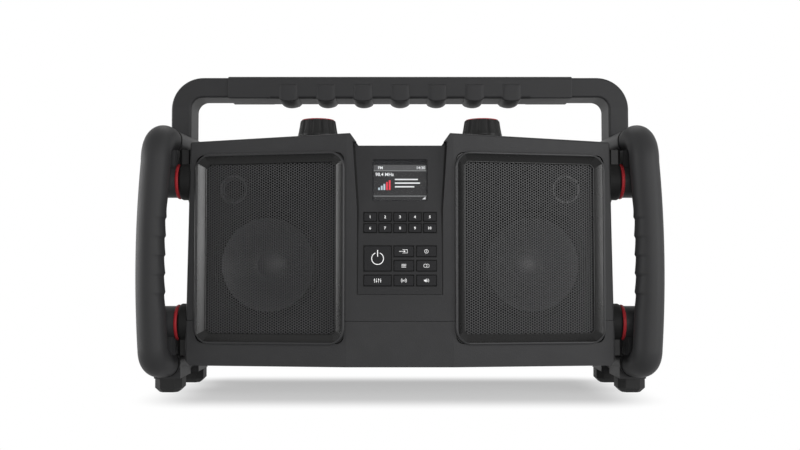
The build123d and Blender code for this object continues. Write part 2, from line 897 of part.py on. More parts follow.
def side_plane(x, y, z):
    """Plane that faces right, for the shock mounts."""
    return Plane(origin=(x, y, z), x_dir=(0, 1, 0), z_dir=(1, 0, 0))


mount_places = [(y, z) for y in (front_mount_y, rear_mount_y) for z in mount_heights]
cage_boss_x = ring_x + ring_width
connectors = [connector(z, tube_radius) for z in (cage_low_z, cage_high_z)]

with BuildPart() as side_frame_right:
    add(connectors)
    add(bar_tube(-1, front_seam_x, bow_lean, core_radius))
    add(bar_tube(1, rear_seam_x, 0, core_radius))
    for y, z in mount_places:
        with BuildSketch(side_plane(cage_boss_x, y, z)):
            Circle(cage_boss_radius)
        extrude(amount=cage_boss_end_x - cage_boss_x)
    for z in mount_heights:
        with BuildSketch(front_plane(rear_mount_y)):
            with Locations(((cage_boss_x + cage_boss_end_x) / 2, z)):
                Rectangle(cage_boss_end_x - cage_boss_x, 2 * web_half_height)
        extrude(amount=-(cage_half_depth - rear_mount_y - core_radius / 2))
    for end in (-1, 1):
        near, reach = end * saddle_near_y, end * (saddle_far_y - saddle_near_y)
        with BuildSketch(Plane(origin=(connector_x(end * foot_y) + saddle_shift, near, foot_height))):
            Rectangle(saddle_width, abs(reach), align=(Align.CENTER, Align.MIN if end > 0 else Align.MAX))
        extrude(amount=cage_low_z - foot_height)
    add(connectors)
    for y, z in mount_places:
        with BuildSketch(side_plane(cage_boss_x, y, z)):
            Circle(bolt_radius + bolt_play)
        extrude(amount=far, mode=Mode.SUBTRACT)
        with BuildSketch(side_plane(cage_boss_end_x - bolt_head_height, y, z)):
            Circle(bolt_head_radius + bolt_play)
        extrude(amount=far, mode=Mode.SUBTRACT)
    for end in (-1, 1):
        with BuildSketch(Plane(origin=(connector_x(end * foot_y) + saddle_shift, end * foot_y, foot_height))):
            Circle(foot_screw_radius)
        extrude(amount=foot_screw_reach - foot_height, mode=Mode.SUBTRACT)
save(side_frame_right, "side_frame_right")

with BuildPart() as front_sleeve_right:
    add(bar_tube(-1, front_seam_x, bow_lean, tube_radius))
    add(bar_tube(-1, front_seam_x, bow_lean, core_radius + sleeve_fit), mode=Mode.SUBTRACT)
    for z in mount_heights:
        for start, stop, radius in [
            (cage_boss_x - far, cage_boss_x, ring_radius),
            (cage_boss_x, cage_boss_end_x, cage_boss_radius),
        ]:
            with BuildSketch(side_plane(start, front_mount_y, z)):
                Circle(radius + fit_gap)
            extrude(amount=stop - start + fit_gap, mode=Mode.SUBTRACT)
save(front_sleeve_right, "front_sleeve_right")

with BuildPart() as rear_sleeve_right:
    add(bar_tube(1, rear_seam_x, 0, tube_radius))
    add(bar_tube(1, rear_seam_x, 0, core_radius + sleeve_fit), mode=Mode.SUBTRACT)
    for z in mount_heights:
        with BuildSketch(front_plane(rear_mount_y)):
            with Locations(((cage_boss_x + cage_boss_end_x) / 2, z)):
                Rectangle(cage_boss_end_x - cage_boss_x + 2 * fit_gap, 2 * (web_half_height + fit_gap))
        extrude(amount=-(cage_half_depth - rear_mount_y), mode=Mode.SUBTRACT)
save(rear_sleeve_right, "rear_sleeve_right")

for name, piece in [
    ("side_frame", side_frame_right),
    ("front_sleeve", front_sleeve_right),
    ("rear_sleeve", rear_sleeve_right),
]:
    with BuildPart() as left_piece:
        add(mirrored(piece))
    save(left_piece, f"{name}_left")

with BuildPart() as right_rings:
    for y, z in mount_places:
        with BuildSketch(side_plane(ring_x, y, z)):
            Circle(ring_radius)
            Circle(bolt_radius + bolt_play, mode=Mode.SUBTRACT)
        extrude(amount=ring_width)
with BuildPart() as damping_rings:
    add([right_rings.part, mirrored(right_rings)])
save(damping_rings, "damping_rings")

with BuildPart() as right_bosses:
    for y, z in mount_places:
        with BuildSketch(side_plane(ring_x, y, z)):
            Circle(case_boss_radius)
        extrude(amount=top_half_width - case_wall - ring_x)
    fillet(right_bosses.edges().group_by(Axis.X)[-1], boss_round)
    for y, z in mount_places:
        with BuildSketch(side_plane(ring_x, y, z)):
            Circle(bolt_radius + bolt_play)
        extrude(amount=-far, mode=Mode.SUBTRACT)
    add([upper_form(0, parting_z), base_case], mode=Mode.SUBTRACT)
with BuildPart() as case_bosses:
    add([right_bosses.part, mirrored(right_bosses)])
save(case_bosses, "case_bosses")

# ---- Handle -------------------------------------------------------------------------------------------
with BuildPart() as handle_frame:
    with BuildSketch(front_plane(handle_front_y)) as arch:
        with Locations((0, cage_high_z)):
            Rectangle(2 * handle_outer_x, handle_top_z - cage_high_z, align=(Align.CENTER, Align.MIN))
        fillet(arch.vertices().group_by(Axis.Y)[-1], handle_outer_round)
        with BuildSketch(mode=Mode.PRIVATE) as window:
            with Locations((0, cage_high_z - handle_inner_round)):
                Rectangle(
                    2 * (handle_outer_x - handle_post),
                    handle_top_z - handle_bar - cage_high_z + handle_inner_round,
                    align=(Align.CENTER, Align.MIN),
                )
            fillet(window.vertices().group_by(Axis.Y)[-1], handle_inner_round)
        add(window.sketch, mode=Mode.SUBTRACT)
    extrude(amount=-handle_depth)
    long_edges = handle_frame.edges().filter_by(lambda e: abs(e.center().Y - handle_front_y - handle_depth / 2) > 0.45 * handle_depth)
    fillet(long_edges.filter_by(lambda e: e.center().Z > cage_high_z + 1), handle_edge)
    for tube in connectors:
        add([tube, tube.mirror(Plane.YZ)], mode=Mode.SUBTRACT)
save(handle_frame, "handle_frame")

grip_low_z = handle_top_z - handle_bar - grip_wall
grip_front_y = handle_front_y - grip_wall
grip_depth = handle_depth + 2 * grip_wall
with BuildPart() as handle_grip:
    with BuildSketch(front_plane(grip_front_y)):
        with Locations((0, grip_low_z)):
            Rectangle(2 * grip_half_length, handle_bar + 2 * grip_wall, align=(Align.CENTER, Align.MIN))
    extrude(amount=-grip_depth)
    fillet(handle_grip.edges().filter_by(Axis.X), handle_edge + grip_wall)
    bump_z = handle_top_z - handle_bar - bump_drop + bump_radius
    bump_start = grip_front_y - bump_proud
    bump_end = grip_front_y + grip_depth + bump_proud
    for index in range(bump_count):
        x = (index - (bump_count - 1) / 2) * bump_pitch
        with BuildSketch(Plane(origin=(x, 0, bump_z), x_dir=(0, 1, 0), z_dir=(1, 0, 0))):
            with BuildLine():
                Line((bump_start, 0), (bump_start, bump_radius))
                ThreePointArc(
                    (bump_start, bump_radius),
                    ((bump_start + bump_end) / 2, bump_radius + bump_swell),
                    (bump_end, bump_radius),
                )
                Line((bump_end, bump_radius), (bump_end, 0))
                Line((bump_end, 0), (bump_start, 0))
            make_face()
        revolve(axis=Axis((x, 0, bump_z), (0, 1, 0)))
    with BuildSketch(front_plane(handle_front_y)):
        with Locations((0, handle_top_z - handle_bar)):
            Rectangle(2 * far, handle_bar, align=(Align.CENTER, Align.MIN))
    bar = extrude(amount=-handle_depth, mode=Mode.PRIVATE)
    add(bar.fillet(handle_edge, bar.edges().filter_by(Axis.X)), mode=Mode.SUBTRACT)
save(handle_grip, "handle_grip")

# ---- Feet ---------------------------------------------------------------------------------------------
foot_places = []
for end in (-1, 1):
    x = connector_x(end * foot_y) + saddle_shift
    foot_places += [(x, end * foot_y), (-x, end * foot_y)]
with BuildPart() as feet:
    for x, y in foot_places:
        with BuildSketch(Plane(origin=(x, y, 0))) as pad:
            Rectangle(foot_width, foot_length)
            chamfer(pad.vertices(), foot_corner)
        extrude(amount=foot_height)
    chamfer(feet.edges().group_by(Axis.Z)[0], foot_bevel)
    for x, y in foot_places:
        with BuildSketch(Plane(origin=(x, y, 0))):
            Circle(foot_screw_head + fit_gap)
        extrude(amount=foot_screw_recess, mode=Mode.SUBTRACT)
        with BuildSketch(Plane(origin=(x, y, 0))):
            Circle(foot_screw_radius + fit_gap)
        extrude(amount=foot_height, mode=Mode.SUBTRACT)
save(feet, "feet")

# ---- Back of the case -----------------------------------------------------------------------------------
door_back_y = back_y + fit_gap
barrel_y = door_back_y + barrel_radius
battery_window = (door_hinge_x + bay_margin, door_free_x - bay_margin, door_low_z + bay_margin, door_high_z - bay_margin)
socket_window = (flap_free_x + bay_margin, flap_hinge_x - bay_margin, flap_low_z + bay_margin, flap_high_z - bay_margin)
doors = [
    ("battery_door", door_hinge_x, door_free_x, door_low_z, door_high_z),
    ("socket_flap", flap_hinge_x, flap_free_x, flap_low_z, flap_high_z),
]


def block(low_x, high_x, low_y, high_y, low_z, high_z):
    """A box from its six limits."""
    with BuildPart() as body:
        with Locations((low_x, low_y, low_z)):
            Box(high_x - low_x, high_y - low_y, high_z - low_z, align=(Align.MIN, Align.MIN, Align.MIN))
    return body.part


def upright(x, y, radius, low_z, high_z):
    """A vertical round bar."""
    with BuildPart() as body:
        with BuildSketch(Plane(origin=(x, y, low_z))):
            Circle(radius)
        extrude(amount=high_z - low_z)
    return body.part


def hinged_panel(hinge_x, free_x, low_z, high_z):
    """A flat door that lies on the back, with a bored barrel along its hinge edge."""
    side = 1 if free_x > hinge_x else -1
    plate_start = hinge_x + side * (barrel_radius + ear_gap)
    plate_x = sorted((plate_start, free_x))
    with BuildPart() as panel:
        add(block(*plate_x, door_back_y, door_back_y + door_sheet, low_z, high_z))
        fillet(panel.edges().filter_by(Axis.Y).filter_by(lambda e: abs(e.center().X - free_x) < 1), door_corner)
        fillet(panel.faces().sort_by(Axis.Y)[-1].edges(), door_edge)
        pull_x = free_x - side * pull_inset
        with BuildSketch(front_plane(door_back_y + door_sheet - pull_depth)):
            with Locations((pull_x, (low_z + high_z) / 2)):
                SlotOverall(pull_length, pull_width, rotation=90)
        extrude(amount=-far, mode=Mode.SUBTRACT)
        barrel_z = (low_z + ear_length + ear_gap, high_z - ear_length - ear_gap)
        add(upright(hinge_x, barrel_y, barrel_radius, *barrel_z))
        neck_x = sorted((hinge_x, plate_start + side))
        add(block(*neck_x, door_back_y, barrel_y, *barrel_z))
        add(upright(hinge_x, barrel_y, pin_radius + pin_play, low_z, high_z), mode=Mode.SUBTRACT)
    return panel.part


with BuildPart() as rear_cover:
    add(upper_case)
    add(upper_cavity, mode=Mode.SUBTRACT)
    split(bisect_by=Plane.XZ.offset(-shell_split_y), keep=Keep.BOTTOM)
    add(
        block(
            battery_window[0] - bay_wall,
            battery_window[1] + bay_wall,
            back_y - battery_depth - bay_wall,
            back_y - case_wall / 2,
            battery_window[2] - bay_wall,
            battery_window[3] + bay_wall,
        )
    )
    add(
        block(*battery_window[:2], back_y - battery_depth, back_y + 1, *battery_window[2:]),
        mode=Mode.SUBTRACT,
    )
    add(block(*socket_window[:2], back_y - 2 * case_wall, back_y + 1, *socket_window[2:]), mode=Mode.SUBTRACT)
    for _, hinge_x, _, low_z, high_z in doors:
        for ear_low in (low_z, high_z - ear_length):
            add(upright(hinge_x, barrel_y, barrel_radius, ear_low, ear_low + ear_length))
            add(
                block(
                    hinge_x - barrel_radius,
                    hinge_x + barrel_radius,
                    back_y - case_wall / 2,
                    barrel_y,
                    ear_low,
                    ear_low + ear_length,
                )
            )
        add(upright(hinge_x, barrel_y, pin_radius, low_z, high_z), mode=Mode.SUBTRACT)
    with BuildSketch(front_plane(back_y - case_wall / 2)):
        with Locations(*screw_places):
            Circle(screw_boss)
    extrude(amount=screw_boss_length)
    with BuildSketch(front_plane(back_y - screw_sink - screw_head_height)):
        with Locations(*screw_places):
            Circle(screw_head + fit_gap)
    extrude(amount=-far, mode=Mode.SUBTRACT)
    with BuildSketch(front_plane(back_y)):
        with Locations(*screw_places):
            Circle(screw_radius + fit_gap)
    extrude(amount=far, mode=Mode.SUBTRACT)
    with BuildSketch(front_plane(back_y - 2 * case_wall)):
        for side in (-1, 1):
            with Locations((side * vent_x, vent_z)):
                with GridLocations(vent_pitch, 0, vent_count, 1):
                    SlotOverall(vent_height, vent_width, rotation=90)
    extrude(amount=-far, mode=Mode.SUBTRACT)
    add(
        block(
            cradle_x - cradle_width / 2,
            cradle_x + cradle_width / 2,
            back_y - case_wall / 2,
            aerial_y + aerial_radius,
            aerial_z - aerial_radius - cradle_sheet - fit_gap,
            aerial_z - aerial_radius - fit_gap,
        )
    )
    with BuildSketch(front_plane(back_y - 2 * case_wall)):
        with Locations((aerial_hinge_x, aerial_z)):
            Circle(stud_radius)
    extrude(amount=-far, mode=Mode.SUBTRACT)
    add(mount_bolt_holes.part, mode=Mode.SUBTRACT)
save(rear_cover, "rear_cover")

for name, hinge_x, free_x, low_z, high_z in doors:
    with BuildPart() as door:
        add(hinged_panel(hinge_x, free_x, low_z, high_z))
    save(door, name)

with BuildPart() as hinge_pins:
    for _, hinge_x, _, low_z, high_z in doors:
        add(upright(hinge_x, barrel_y, pin_radius, low_z, high_z))
    with BuildSketch(front_plane(back_y - 2 * case_wall)):
        with Locations((aerial_hinge_x, aerial_z)):
            Circle(stud_radius)
    extrude(amount=-(2 * case_wall + 2 * aerial_gap + aerial_eye_width))
    with BuildSketch(front_plane(back_y + 2 * aerial_gap + aerial_eye_width)):
        with Locations((aerial_hinge_x, aerial_z)):
            Circle(stud_head)
    extrude(amount=-stud_head_height)
save(hinge_pins, "hinge_pins")

with BuildPart() as aerial:
    with BuildSketch(front_plane(back_y + aerial_gap)):
        with Locations((aerial_hinge_x, aerial_z)):
            Circle(aerial_eye)
    extrude(amount=-aerial_eye_width)
    with BuildSketch(Plane(origin=(aerial_hinge_x, aerial_y, aerial_z), x_dir=(0, 1, 0), z_dir=(-1, 0, 0))):
        Circle(aerial_radius)
    with BuildSketch(
        Plane(origin=(aerial_hinge_x - aerial_length, aerial_y, aerial_z), x_dir=(0, 1, 0), z_dir=(-1, 0, 0))
    ):
        Circle(aerial_tip)
    loft()
    fillet(aerial.faces().sort_by(Axis.X)[0].edges(), aerial_tip * 0.8)
    with BuildSketch(front_plane(back_y)):
        with Locations((aerial_hinge_x, aerial_z)):
            Circle(stud_radius + pin_play)
    extrude(amount=-far, mode=Mode.SUBTRACT)
save(aerial, "aerial")

with BuildPart() as battery_pack:
    add(
        block(
            battery_window[0] + battery_gap,
            battery_window[1] - battery_gap,
            back_y - battery_depth,
            back_y - battery_gap,
            battery_window[2],
            battery_window[3] - battery_gap,
        )
    )
    fillet(battery_pack.edges().filter_by(Axis.X), battery_round)
save(battery_pack, "battery_pack")

socket_mid_z = (socket_window[2] + socket_window[3]) / 2
with BuildPart() as rear_sockets:
    add(
        block(
            socket_window[0] + fit_gap,
            socket_window[1] - fit_gap,
            back_y - socket_depth,
            back_y - socket_recess,
            socket_window[2] + fit_gap,
            socket_window[3] - fit_gap,
        )
    )
    add(
        block(
            socket_window[0] - socket_flange,
            socket_window[1] + socket_flange,
            back_y - socket_depth,
            back_y - case_wall,
            socket_window[2] - socket_flange,
            socket_window[3] + socket_flange,
        )
    )
    with BuildSketch(front_plane(back_y - socket_recess - inlet_depth)):
        with Locations((inlet_x, socket_mid_z)):
            SlotOverall(inlet_width, inlet_height)
    extrude(amount=-far, mode=Mode.SUBTRACT)
    with BuildSketch(front_plane(back_y - socket_recess - usb_depth)):
        with Locations((usb_x, socket_mid_z)):
            Rectangle(usb_width, usb_height)
    extrude(amount=-far, mode=Mode.SUBTRACT)
    with BuildSketch(front_plane(back_y - socket_recess - jack_depth)):
        with Locations((jack_x, socket_mid_z - jack_spacing / 2), (jack_x, socket_mid_z + jack_spacing / 2)):
            Circle(jack_radius)
    extrude(amount=-far, mode=Mode.SUBTRACT)
    with BuildSketch(front_plane(back_y - socket_recess - inlet_depth)):
        with Locations((inlet_x - contact_spacing / 2, socket_mid_z), (inlet_x + contact_spacing / 2, socket_mid_z)):
            Circle(contact_radius)
    extrude(amount=-contact_length)
save(rear_sockets, "rear_sockets")

# ---- Power unit in the base -------------------------------------------------------------------------------
unit_z = base_z + case_wall + post_height
with BuildPart() as unit_board:
    add(block(-unit_half_width, unit_half_width, unit_low_y, unit_high_y, unit_z, unit_z + board_sheet))
sink_limits = (sink_x, unit_half_width - sink_margin, unit_low_y + sink_margin, unit_high_y - sink_margin)
with BuildPart() as heat_sink:
    add(block(*sink_limits, unit_top_z, unit_top_z + sink_base))
    with BuildSketch(Plane.XY.offset(unit_top_z + sink_base)):
        with Locations(((sink_limits[0] + sink_limits[1]) / 2, (unit_low_y + unit_high_y) / 2)):
            with GridLocations(sink_pitch, 0, sink_fins, 1):
                Rectangle(sink_fin, sink_limits[3] - sink_limits[2])
    extrude(amount=sink_fin_height)
with BuildPart() as transformer:
    left, front = sink_margin - unit_half_width, unit_low_y + transformer_front_gap
    add(
        block(
            left,
            left + transformer_width,
            front,
            front + transformer_length,
            unit_top_z,
            unit_top_z + transformer_height,
        )
    )
with BuildPart() as capacitors:
    for x in capacitor_x:
        add(upright(x, 0, capacitor_radius, unit_top_z, unit_top_z + capacitor_height))
with BuildPart() as power_unit:
    add(unit_board.part)
power_unit.part = Compound(children=[unit_board.part, heat_sink.part, transformer.part, *capacitors.solids()])
save(power_unit, "power_unit")

# ---- Fasteners --------------------------------------------------------------------------------------------
with BuildPart() as right_bolts:
    for y, z in mount_places:
        with BuildSketch(side_plane(cage_boss_end_x - bolt_head_height, y, z)):
            Circle(bolt_radius)
        extrude(amount=nut_x - (cage_boss_end_x - bolt_head_height))
        with BuildSketch(side_plane(cage_boss_end_x - bolt_head_height, y, z)):
            Circle(bolt_head_radius)
            RegularPolygon(bolt_socket, 6, mode=Mode.SUBTRACT)
        extrude(amount=bolt_head_height - 1)
        with BuildSketch(side_plane(cage_boss_end_x - bolt_head_height, y, z)):
            Circle(bolt_head_radius)
        extrude(amount=1)
        with BuildSketch(side_plane(nut_x, y, z)):
            RegularPolygon(bolt_head_radius, 6)
        extrude(amount=nut_height)
with BuildPart() as mount_bolts:
    add([right_bolts.part, mirrored(right_bolts)])

with BuildPart() as foot_screws:
    for x, y in foot_places:
        add(upright(x, y, foot_screw_radius, foot_screw_recess, foot_screw_reach - 1))
        add(upright(x, y, foot_screw_head, foot_screw_recess - foot_head_height, foot_screw_recess))

with BuildPart() as case_screws:
    with BuildSketch(front_plane(back_y - screw_sink)):
        with Locations(*screw_places):
            Circle(screw_head)
            RegularPolygon(screw_socket, 6, mode=Mode.SUBTRACT)
    extrude(amount=screw_head_height)
    with BuildSketch(front_plane(back_y - screw_sink - screw_head_height / 2)):
        with Locations(*screw_places):
            Circle(screw_radius)
    extrude(amount=screw_length)
with BuildPart() as fasteners:
    add([mount_bolts.part, foot_screws.part, case_screws.part])
save(fasteners, "fasteners")
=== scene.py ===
import json
from math import atan2, cos, pi, radians, sin, sqrt

import bmesh
import bpy
import numpy as np
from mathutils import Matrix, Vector


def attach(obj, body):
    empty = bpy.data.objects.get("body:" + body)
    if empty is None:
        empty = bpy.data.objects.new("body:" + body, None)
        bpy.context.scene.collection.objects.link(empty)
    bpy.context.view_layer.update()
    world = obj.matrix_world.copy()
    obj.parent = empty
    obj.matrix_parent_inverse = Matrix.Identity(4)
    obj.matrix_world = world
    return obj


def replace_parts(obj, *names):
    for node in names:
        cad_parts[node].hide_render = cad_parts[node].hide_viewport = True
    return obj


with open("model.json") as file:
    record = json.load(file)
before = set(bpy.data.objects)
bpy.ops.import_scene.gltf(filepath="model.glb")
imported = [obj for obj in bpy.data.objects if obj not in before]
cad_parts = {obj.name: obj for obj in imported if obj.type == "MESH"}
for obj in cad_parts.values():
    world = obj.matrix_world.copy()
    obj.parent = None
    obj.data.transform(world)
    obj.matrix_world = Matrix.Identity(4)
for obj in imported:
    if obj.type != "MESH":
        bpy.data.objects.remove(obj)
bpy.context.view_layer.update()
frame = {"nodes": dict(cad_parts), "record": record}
nodes = frame["nodes"]
ROOT = "case"
MM = 0.001
SIDES = ((-1, "left"), (1, "right"))

# ---- Sizes shared with the solids, in metres -------------
SWEEP = atan2(0.0175, 0.160)  # how far each speaker front turns away from the middle
SWEEP_CORNER = (0.052, -0.0969)  # where the right speaker front begins, seen from above
MESH_LOW = (0.0118, 0.0615)  # grille opening: inner edge and lower edge
MESH_HIGH = (0.1412, 0.2296)  # outer edge, and upper edge on the inner side
MESH_SLANT = 0.0018  # how much lower the upper edge lies on the outer side
PANEL_KNEE = 0.158  # the control panel leans back above this height
PANEL_LEAN = atan2(0.006, 0.088)
PANEL_FRONT = -0.0969


# ---- Mesh helpers ----------------------------------------
def new_object(name, data):
    """An object of the given data, linked to the scene."""
    made = bpy.data.objects.new(name, data)
    bpy.context.scene.collection.objects.link(made)
    return made


def make_piece(name, vertices, faces, slot, body=ROOT, material=None, smooth=True, angle=40):
    """One mesh object from arrays of points and faces, in its slot's material where none is given. Its closed
    shells are turned to face outwards, and it is shaded smooth below the given edge angle."""
    mesh = bpy.data.meshes.new(name)
    mesh.from_pydata(np.asarray(vertices, float).tolist(), [], [list(map(int, f)) for f in faces])
    mesh.validate()
    shells = bmesh.new()
    shells.from_mesh(mesh)
    bmesh.ops.recalc_face_normals(shells, faces=shells.faces)
    shells.to_mesh(mesh)
    shells.free()
    piece = new_object(name, mesh)
    mesh.materials.append(material or FINISHES[slot])
    if smooth:
        mesh.polygons.foreach_set("use_smooth", [True] * len(mesh.polygons))
        mesh.set_sharp_from_angle(angle=radians(angle))
    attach(piece, body)
    return piece


def closed_grid(points, capped=False):
    """A closed surface from a grid of points, row by row: each point joins its next neighbours, and columns
    wrap round. So do rows, unless two caps close the first and the last one."""
    rows, columns = points.shape[:2]
    total = rows * columns
    i, j = np.meshgrid(np.arange(rows - capped), np.arange(columns), indexing="ij")
    here, beyond = (i * columns).ravel(), ((i + 1) % rows * columns).ravel()
    j, j2 = j.ravel(), ((j + 1) % columns).ravel()
    faces = np.stack([here + j, beyond + j, beyond + j2, here + j2], 1).tolist()
    caps = [list(range(columns)), list(range(total - columns, total))] if capped else []
    return points.reshape(-1, 3), faces + caps


def circle(steps, start=0.0):
    """Cosines and sines of a full turn in equal steps."""
    turn = (np.arange(steps) + start) * 2 * pi / steps
    return np.cos(turn), np.sin(turn)


def welded(points, pitch):
    """The number of the first point at each place, and each point's place, on a lattice of a pitch."""
    keys = np.round(points / pitch).astype(int)
    _, first, number = np.unique(keys, axis=0, return_index=True, return_inverse=True)
    return first, number.ravel()


def merged(parts):
    """One point array and one face list out of several (points, faces) pairs."""
    points, faces, start = [], [], 0
    for part_points, part_faces in parts:
        points.append(np.asarray(part_points, float))
        faces += [[int(v) + start for v in face] for face in part_faces]
        start += len(part_points)
    return np.concatenate(points), faces


def plate(corners, place, front, back):
    """Closed plate from a flat outline: its points at the front depth, then at the back depth, which place
    turns into the radio's metres."""
    corners = np.array(corners, float)
    count = len(corners)
    points = np.concatenate([place(corners[:, 0], corners[:, 1], depth) for depth in (front, back)])
    walls = [[k, k + count, (k + 1) % count + count, (k + 1) % count] for k in range(count)]
    return points, [list(range(count)), list(range(count, 2 * count))] + walls


def speaker_point(u, v, depth, side=1):
    """Point of a swept speaker front: u runs outwards along it, v is the height, depth goes in."""
    x = SWEEP_CORNER[0] + u * cos(SWEEP) - depth * sin(SWEEP)
    y = SWEEP_CORNER[1] + u * sin(SWEEP) + depth * cos(SWEEP)
    return np.stack([side * x, y + 0 * x, v + 0 * x], -1)


def panel_point(x, up, depth):
    """Point of the leaning upper control panel: up runs along it from its knee, depth goes in."""
    x, up, depth = np.broadcast_arrays(np.asarray(x, float), up, depth)
    y = PANEL_FRONT + up * sin(PANEL_LEAN) + depth * cos(PANEL_LEAN)
    z = PANEL_KNEE + up * cos(PANEL_LEAN) - depth * sin(PANEL_LEAN)
    return np.stack([x, y, z], -1)


def fascia_point(x, z, depth):
    """Point of the upright lower control panel: depth goes in."""
    x, z, depth = np.broadcast_arrays(np.asarray(x, float), z, depth)
    return np.stack([x, PANEL_FRONT + depth, z], -1)


# ---- Shader groups ---------------------------------------
def plug(tree, socket, value):
    """Links a socket to another one, or sets its number or its colour."""
    if isinstance(value, bpy.types.NodeSocket):
        tree.links.new(value, socket)
    else:
        socket.default_value = (*value, 1.0) if isinstance(value, (tuple, list)) else value


def add_node(tree, kind, inputs=(), **settings):
    """A shader node: its settings come first, then its inputs by name or number, linked or constant."""
    node = tree.nodes.new("ShaderNode" + kind)
    for name, value in settings.items():
        setattr(node, name, value)
    for key, value in dict(inputs).items():
        plug(tree, node.inputs[key], value)
    return node


def new_group(name, inputs, outputs):
    """An empty shader node group with float inputs (a dict of defaults) and float outputs."""
    group = bpy.data.node_groups.new(name, "ShaderNodeTree")
    for socket, value in inputs.items():
        made = group.interface.new_socket(socket, in_out="INPUT", socket_type="NodeSocketFloat")
        made.default_value = value
    for socket in outputs:
        group.interface.new_socket(socket, in_out="OUTPUT", socket_type="NodeSocketFloat")
    return group, group.nodes.new("NodeGroupInput"), group.nodes.new("NodeGroupOutput")


def math_node(tree, operation, *values):
    """A Math node; each value is a socket or a number."""
    return add_node(tree, "Math", enumerate(values), operation=operation).outputs[0]


def product(tree, *values):
    """The product of two or more sockets and numbers."""
    total = values[0]
    for value in values[1:]:
        total = math_node(tree, "MULTIPLY", total, value)
    return total


def map_node(tree, value, bounds, **settings):
    """A Map Range node, from 0..1 to 0..1 but for the bounds that are given."""
    return add_node(tree, "MapRange", {"Value": value, **bounds}, **settings).outputs["Result"]


def noise_node(tree, vector, scale, detail=3.0, roughness=0.5):
    """A Noise Texture on the given coordinates."""
    inputs = {"Vector": vector, "Scale": scale, "Detail": detail, "Roughness": roughness}
    return add_node(tree, "TexNoise", inputs).outputs["Fac"]


def mix_colour(tree, factor, first, second):
    """A colour mix; first and second are sockets or colours."""
    inputs = {"Factor": factor, "A": first, "B": second}
    return add_node(tree, "Mix", inputs, data_type="RGBA").outputs["Result"]


def object_coordinates(tree):
    """Object coordinates, which are the radio's own metres."""
    return add_node(tree, "TexCoord").outputs["Object"]


def place_group(tree, group, **values):
    """A group node with its inputs set by name."""
    return add_node(tree, "Group", values, node_tree=group)


def build_grain_group():
    """Moulded grain: small rounded cells with fine noise over them, as a height and a slow mottle."""
    group, start, end = new_group("moulded_grain", {"Scale": 900.0}, ["Height", "Mottle"])
    place, scale = object_coordinates(group), start.outputs["Scale"]
    cells = add_node(group, "TexVoronoi", {"Vector": place, "Scale": scale}, feature="SMOOTH_F1")
    fine = product(group, noise_node(group, place, product(group, scale, 2.3), 2), 0.6)
    plug(group, end.inputs["Height"], math_node(group, "ADD", cells.outputs["Distance"], fine))
    plug(group, end.inputs["Mottle"], noise_node(group, place, 24.0, 5))
    return group


def build_wear_group():
    """Handling wear: a mask that rises on outer edges, broken up by noise."""
    group, start, end = new_group("edge_wear", {"Amount": 0.5}, ["Mask"])
    point = add_node(group, "NewGeometry").outputs["Pointiness"]
    edge = map_node(group, point, {"From Min": 0.52, "From Max": 0.62})
    patches = noise_node(group, object_coordinates(group), 60.0, 4, 0.6)
    plug(group, end.inputs["Mask"], product(group, edge, patches, start.outputs["Amount"]))
    return group


def build_dust_group():
    """Settled dust: a mask on faces that look up, in soft uneven patches."""
    group, start, end = new_group("settled_dust", {"Amount": 0.2}, ["Mask"])
    normal = add_node(group, "NewGeometry").outputs["Normal"]
    facing = add_node(group, "SeparateXYZ", {0: normal}).outputs["Z"]
    up = math_node(group, "POWER", math_node(group, "MAXIMUM", facing, 0.0), 3.0)
    place = object_coordinates(group)
    wide, fine = noise_node(group, place, 45.0, 6, 0.65), noise_node(group, place, 900.0, 2)
    plug(group, end.inputs["Mask"], product(group, up, wide, fine, start.outputs["Amount"]))
    return group


GRAIN, WEAR, DUST = build_grain_group(), build_wear_group(), build_dust_group()
WEAR_AMOUNT, DUST_AMOUNT = 0.3, 0.25
DUST_COLOUR = (0.20, 0.19, 0.18)


# ---- Materials -------------------------------------------
def new_material(name, constants):
    """A material, its tree and its Principled shader, with constants set on the shader's own sockets."""
    material = bpy.data.materials.new(name)
    material.use_nodes = True
    tree = material.node_tree
    shader = tree.nodes["Principled BSDF"]
    for socket, value in constants.items():
        plug(tree, shader.inputs[socket], value)
    return material, tree, shader


def grained_finish(tree, shader, grain, colour, smoothest, roughest, strength, distance):
    """Plugs in a colour, the grain's mottle as roughness between two bounds and its height as a bump."""
    inputs = {"Strength": strength, "Distance": distance, "Height": grain.outputs["Height"]}
    plug(tree, shader.inputs["Normal"], add_node(tree, "Bump", inputs).outputs["Normal"])
    swing = map_node(tree, grain.outputs["Mottle"], {"To Min": smoothest, "To Max": roughest})
    plug(tree, shader.inputs["Roughness"], swing)
    plug(tree, shader.inputs["Base Color"], colour)


def moulded(name, colour, roughness, grain=900.0, depth=0.35, specular=0.15, coat=0.0):
    """A moulded plastic or rubber: grain in the bump, mottled colour and roughness, wear and dust."""
    constants = {"Specular IOR Level": specular, "Coat Weight": coat, "Coat Roughness": 0.25}
    material, tree, shader = new_material(name, constants)
    surface = place_group(tree, GRAIN, Scale=grain)
    edges = place_group(tree, WEAR, Amount=WEAR_AMOUNT)
    film = place_group(tree, DUST, Amount=DUST_AMOUNT)
    darker, lighter = [c * 0.86 for c in colour], [min(1.0, c * 1.12 + 0.001) for c in colour]
    base = mix_colour(tree, surface.outputs["Mottle"], darker, lighter)
    worn = mix_colour(tree, edges.outputs["Mask"], base, [c * 1.6 + 0.02 for c in colour])
    dusty = mix_colour(tree, film.outputs["Mask"], worn, DUST_COLOUR)
    grained_finish(tree, shader, surface, dusty, roughness - 0.05, roughness + 0.05, depth, 0.0002)
    return material


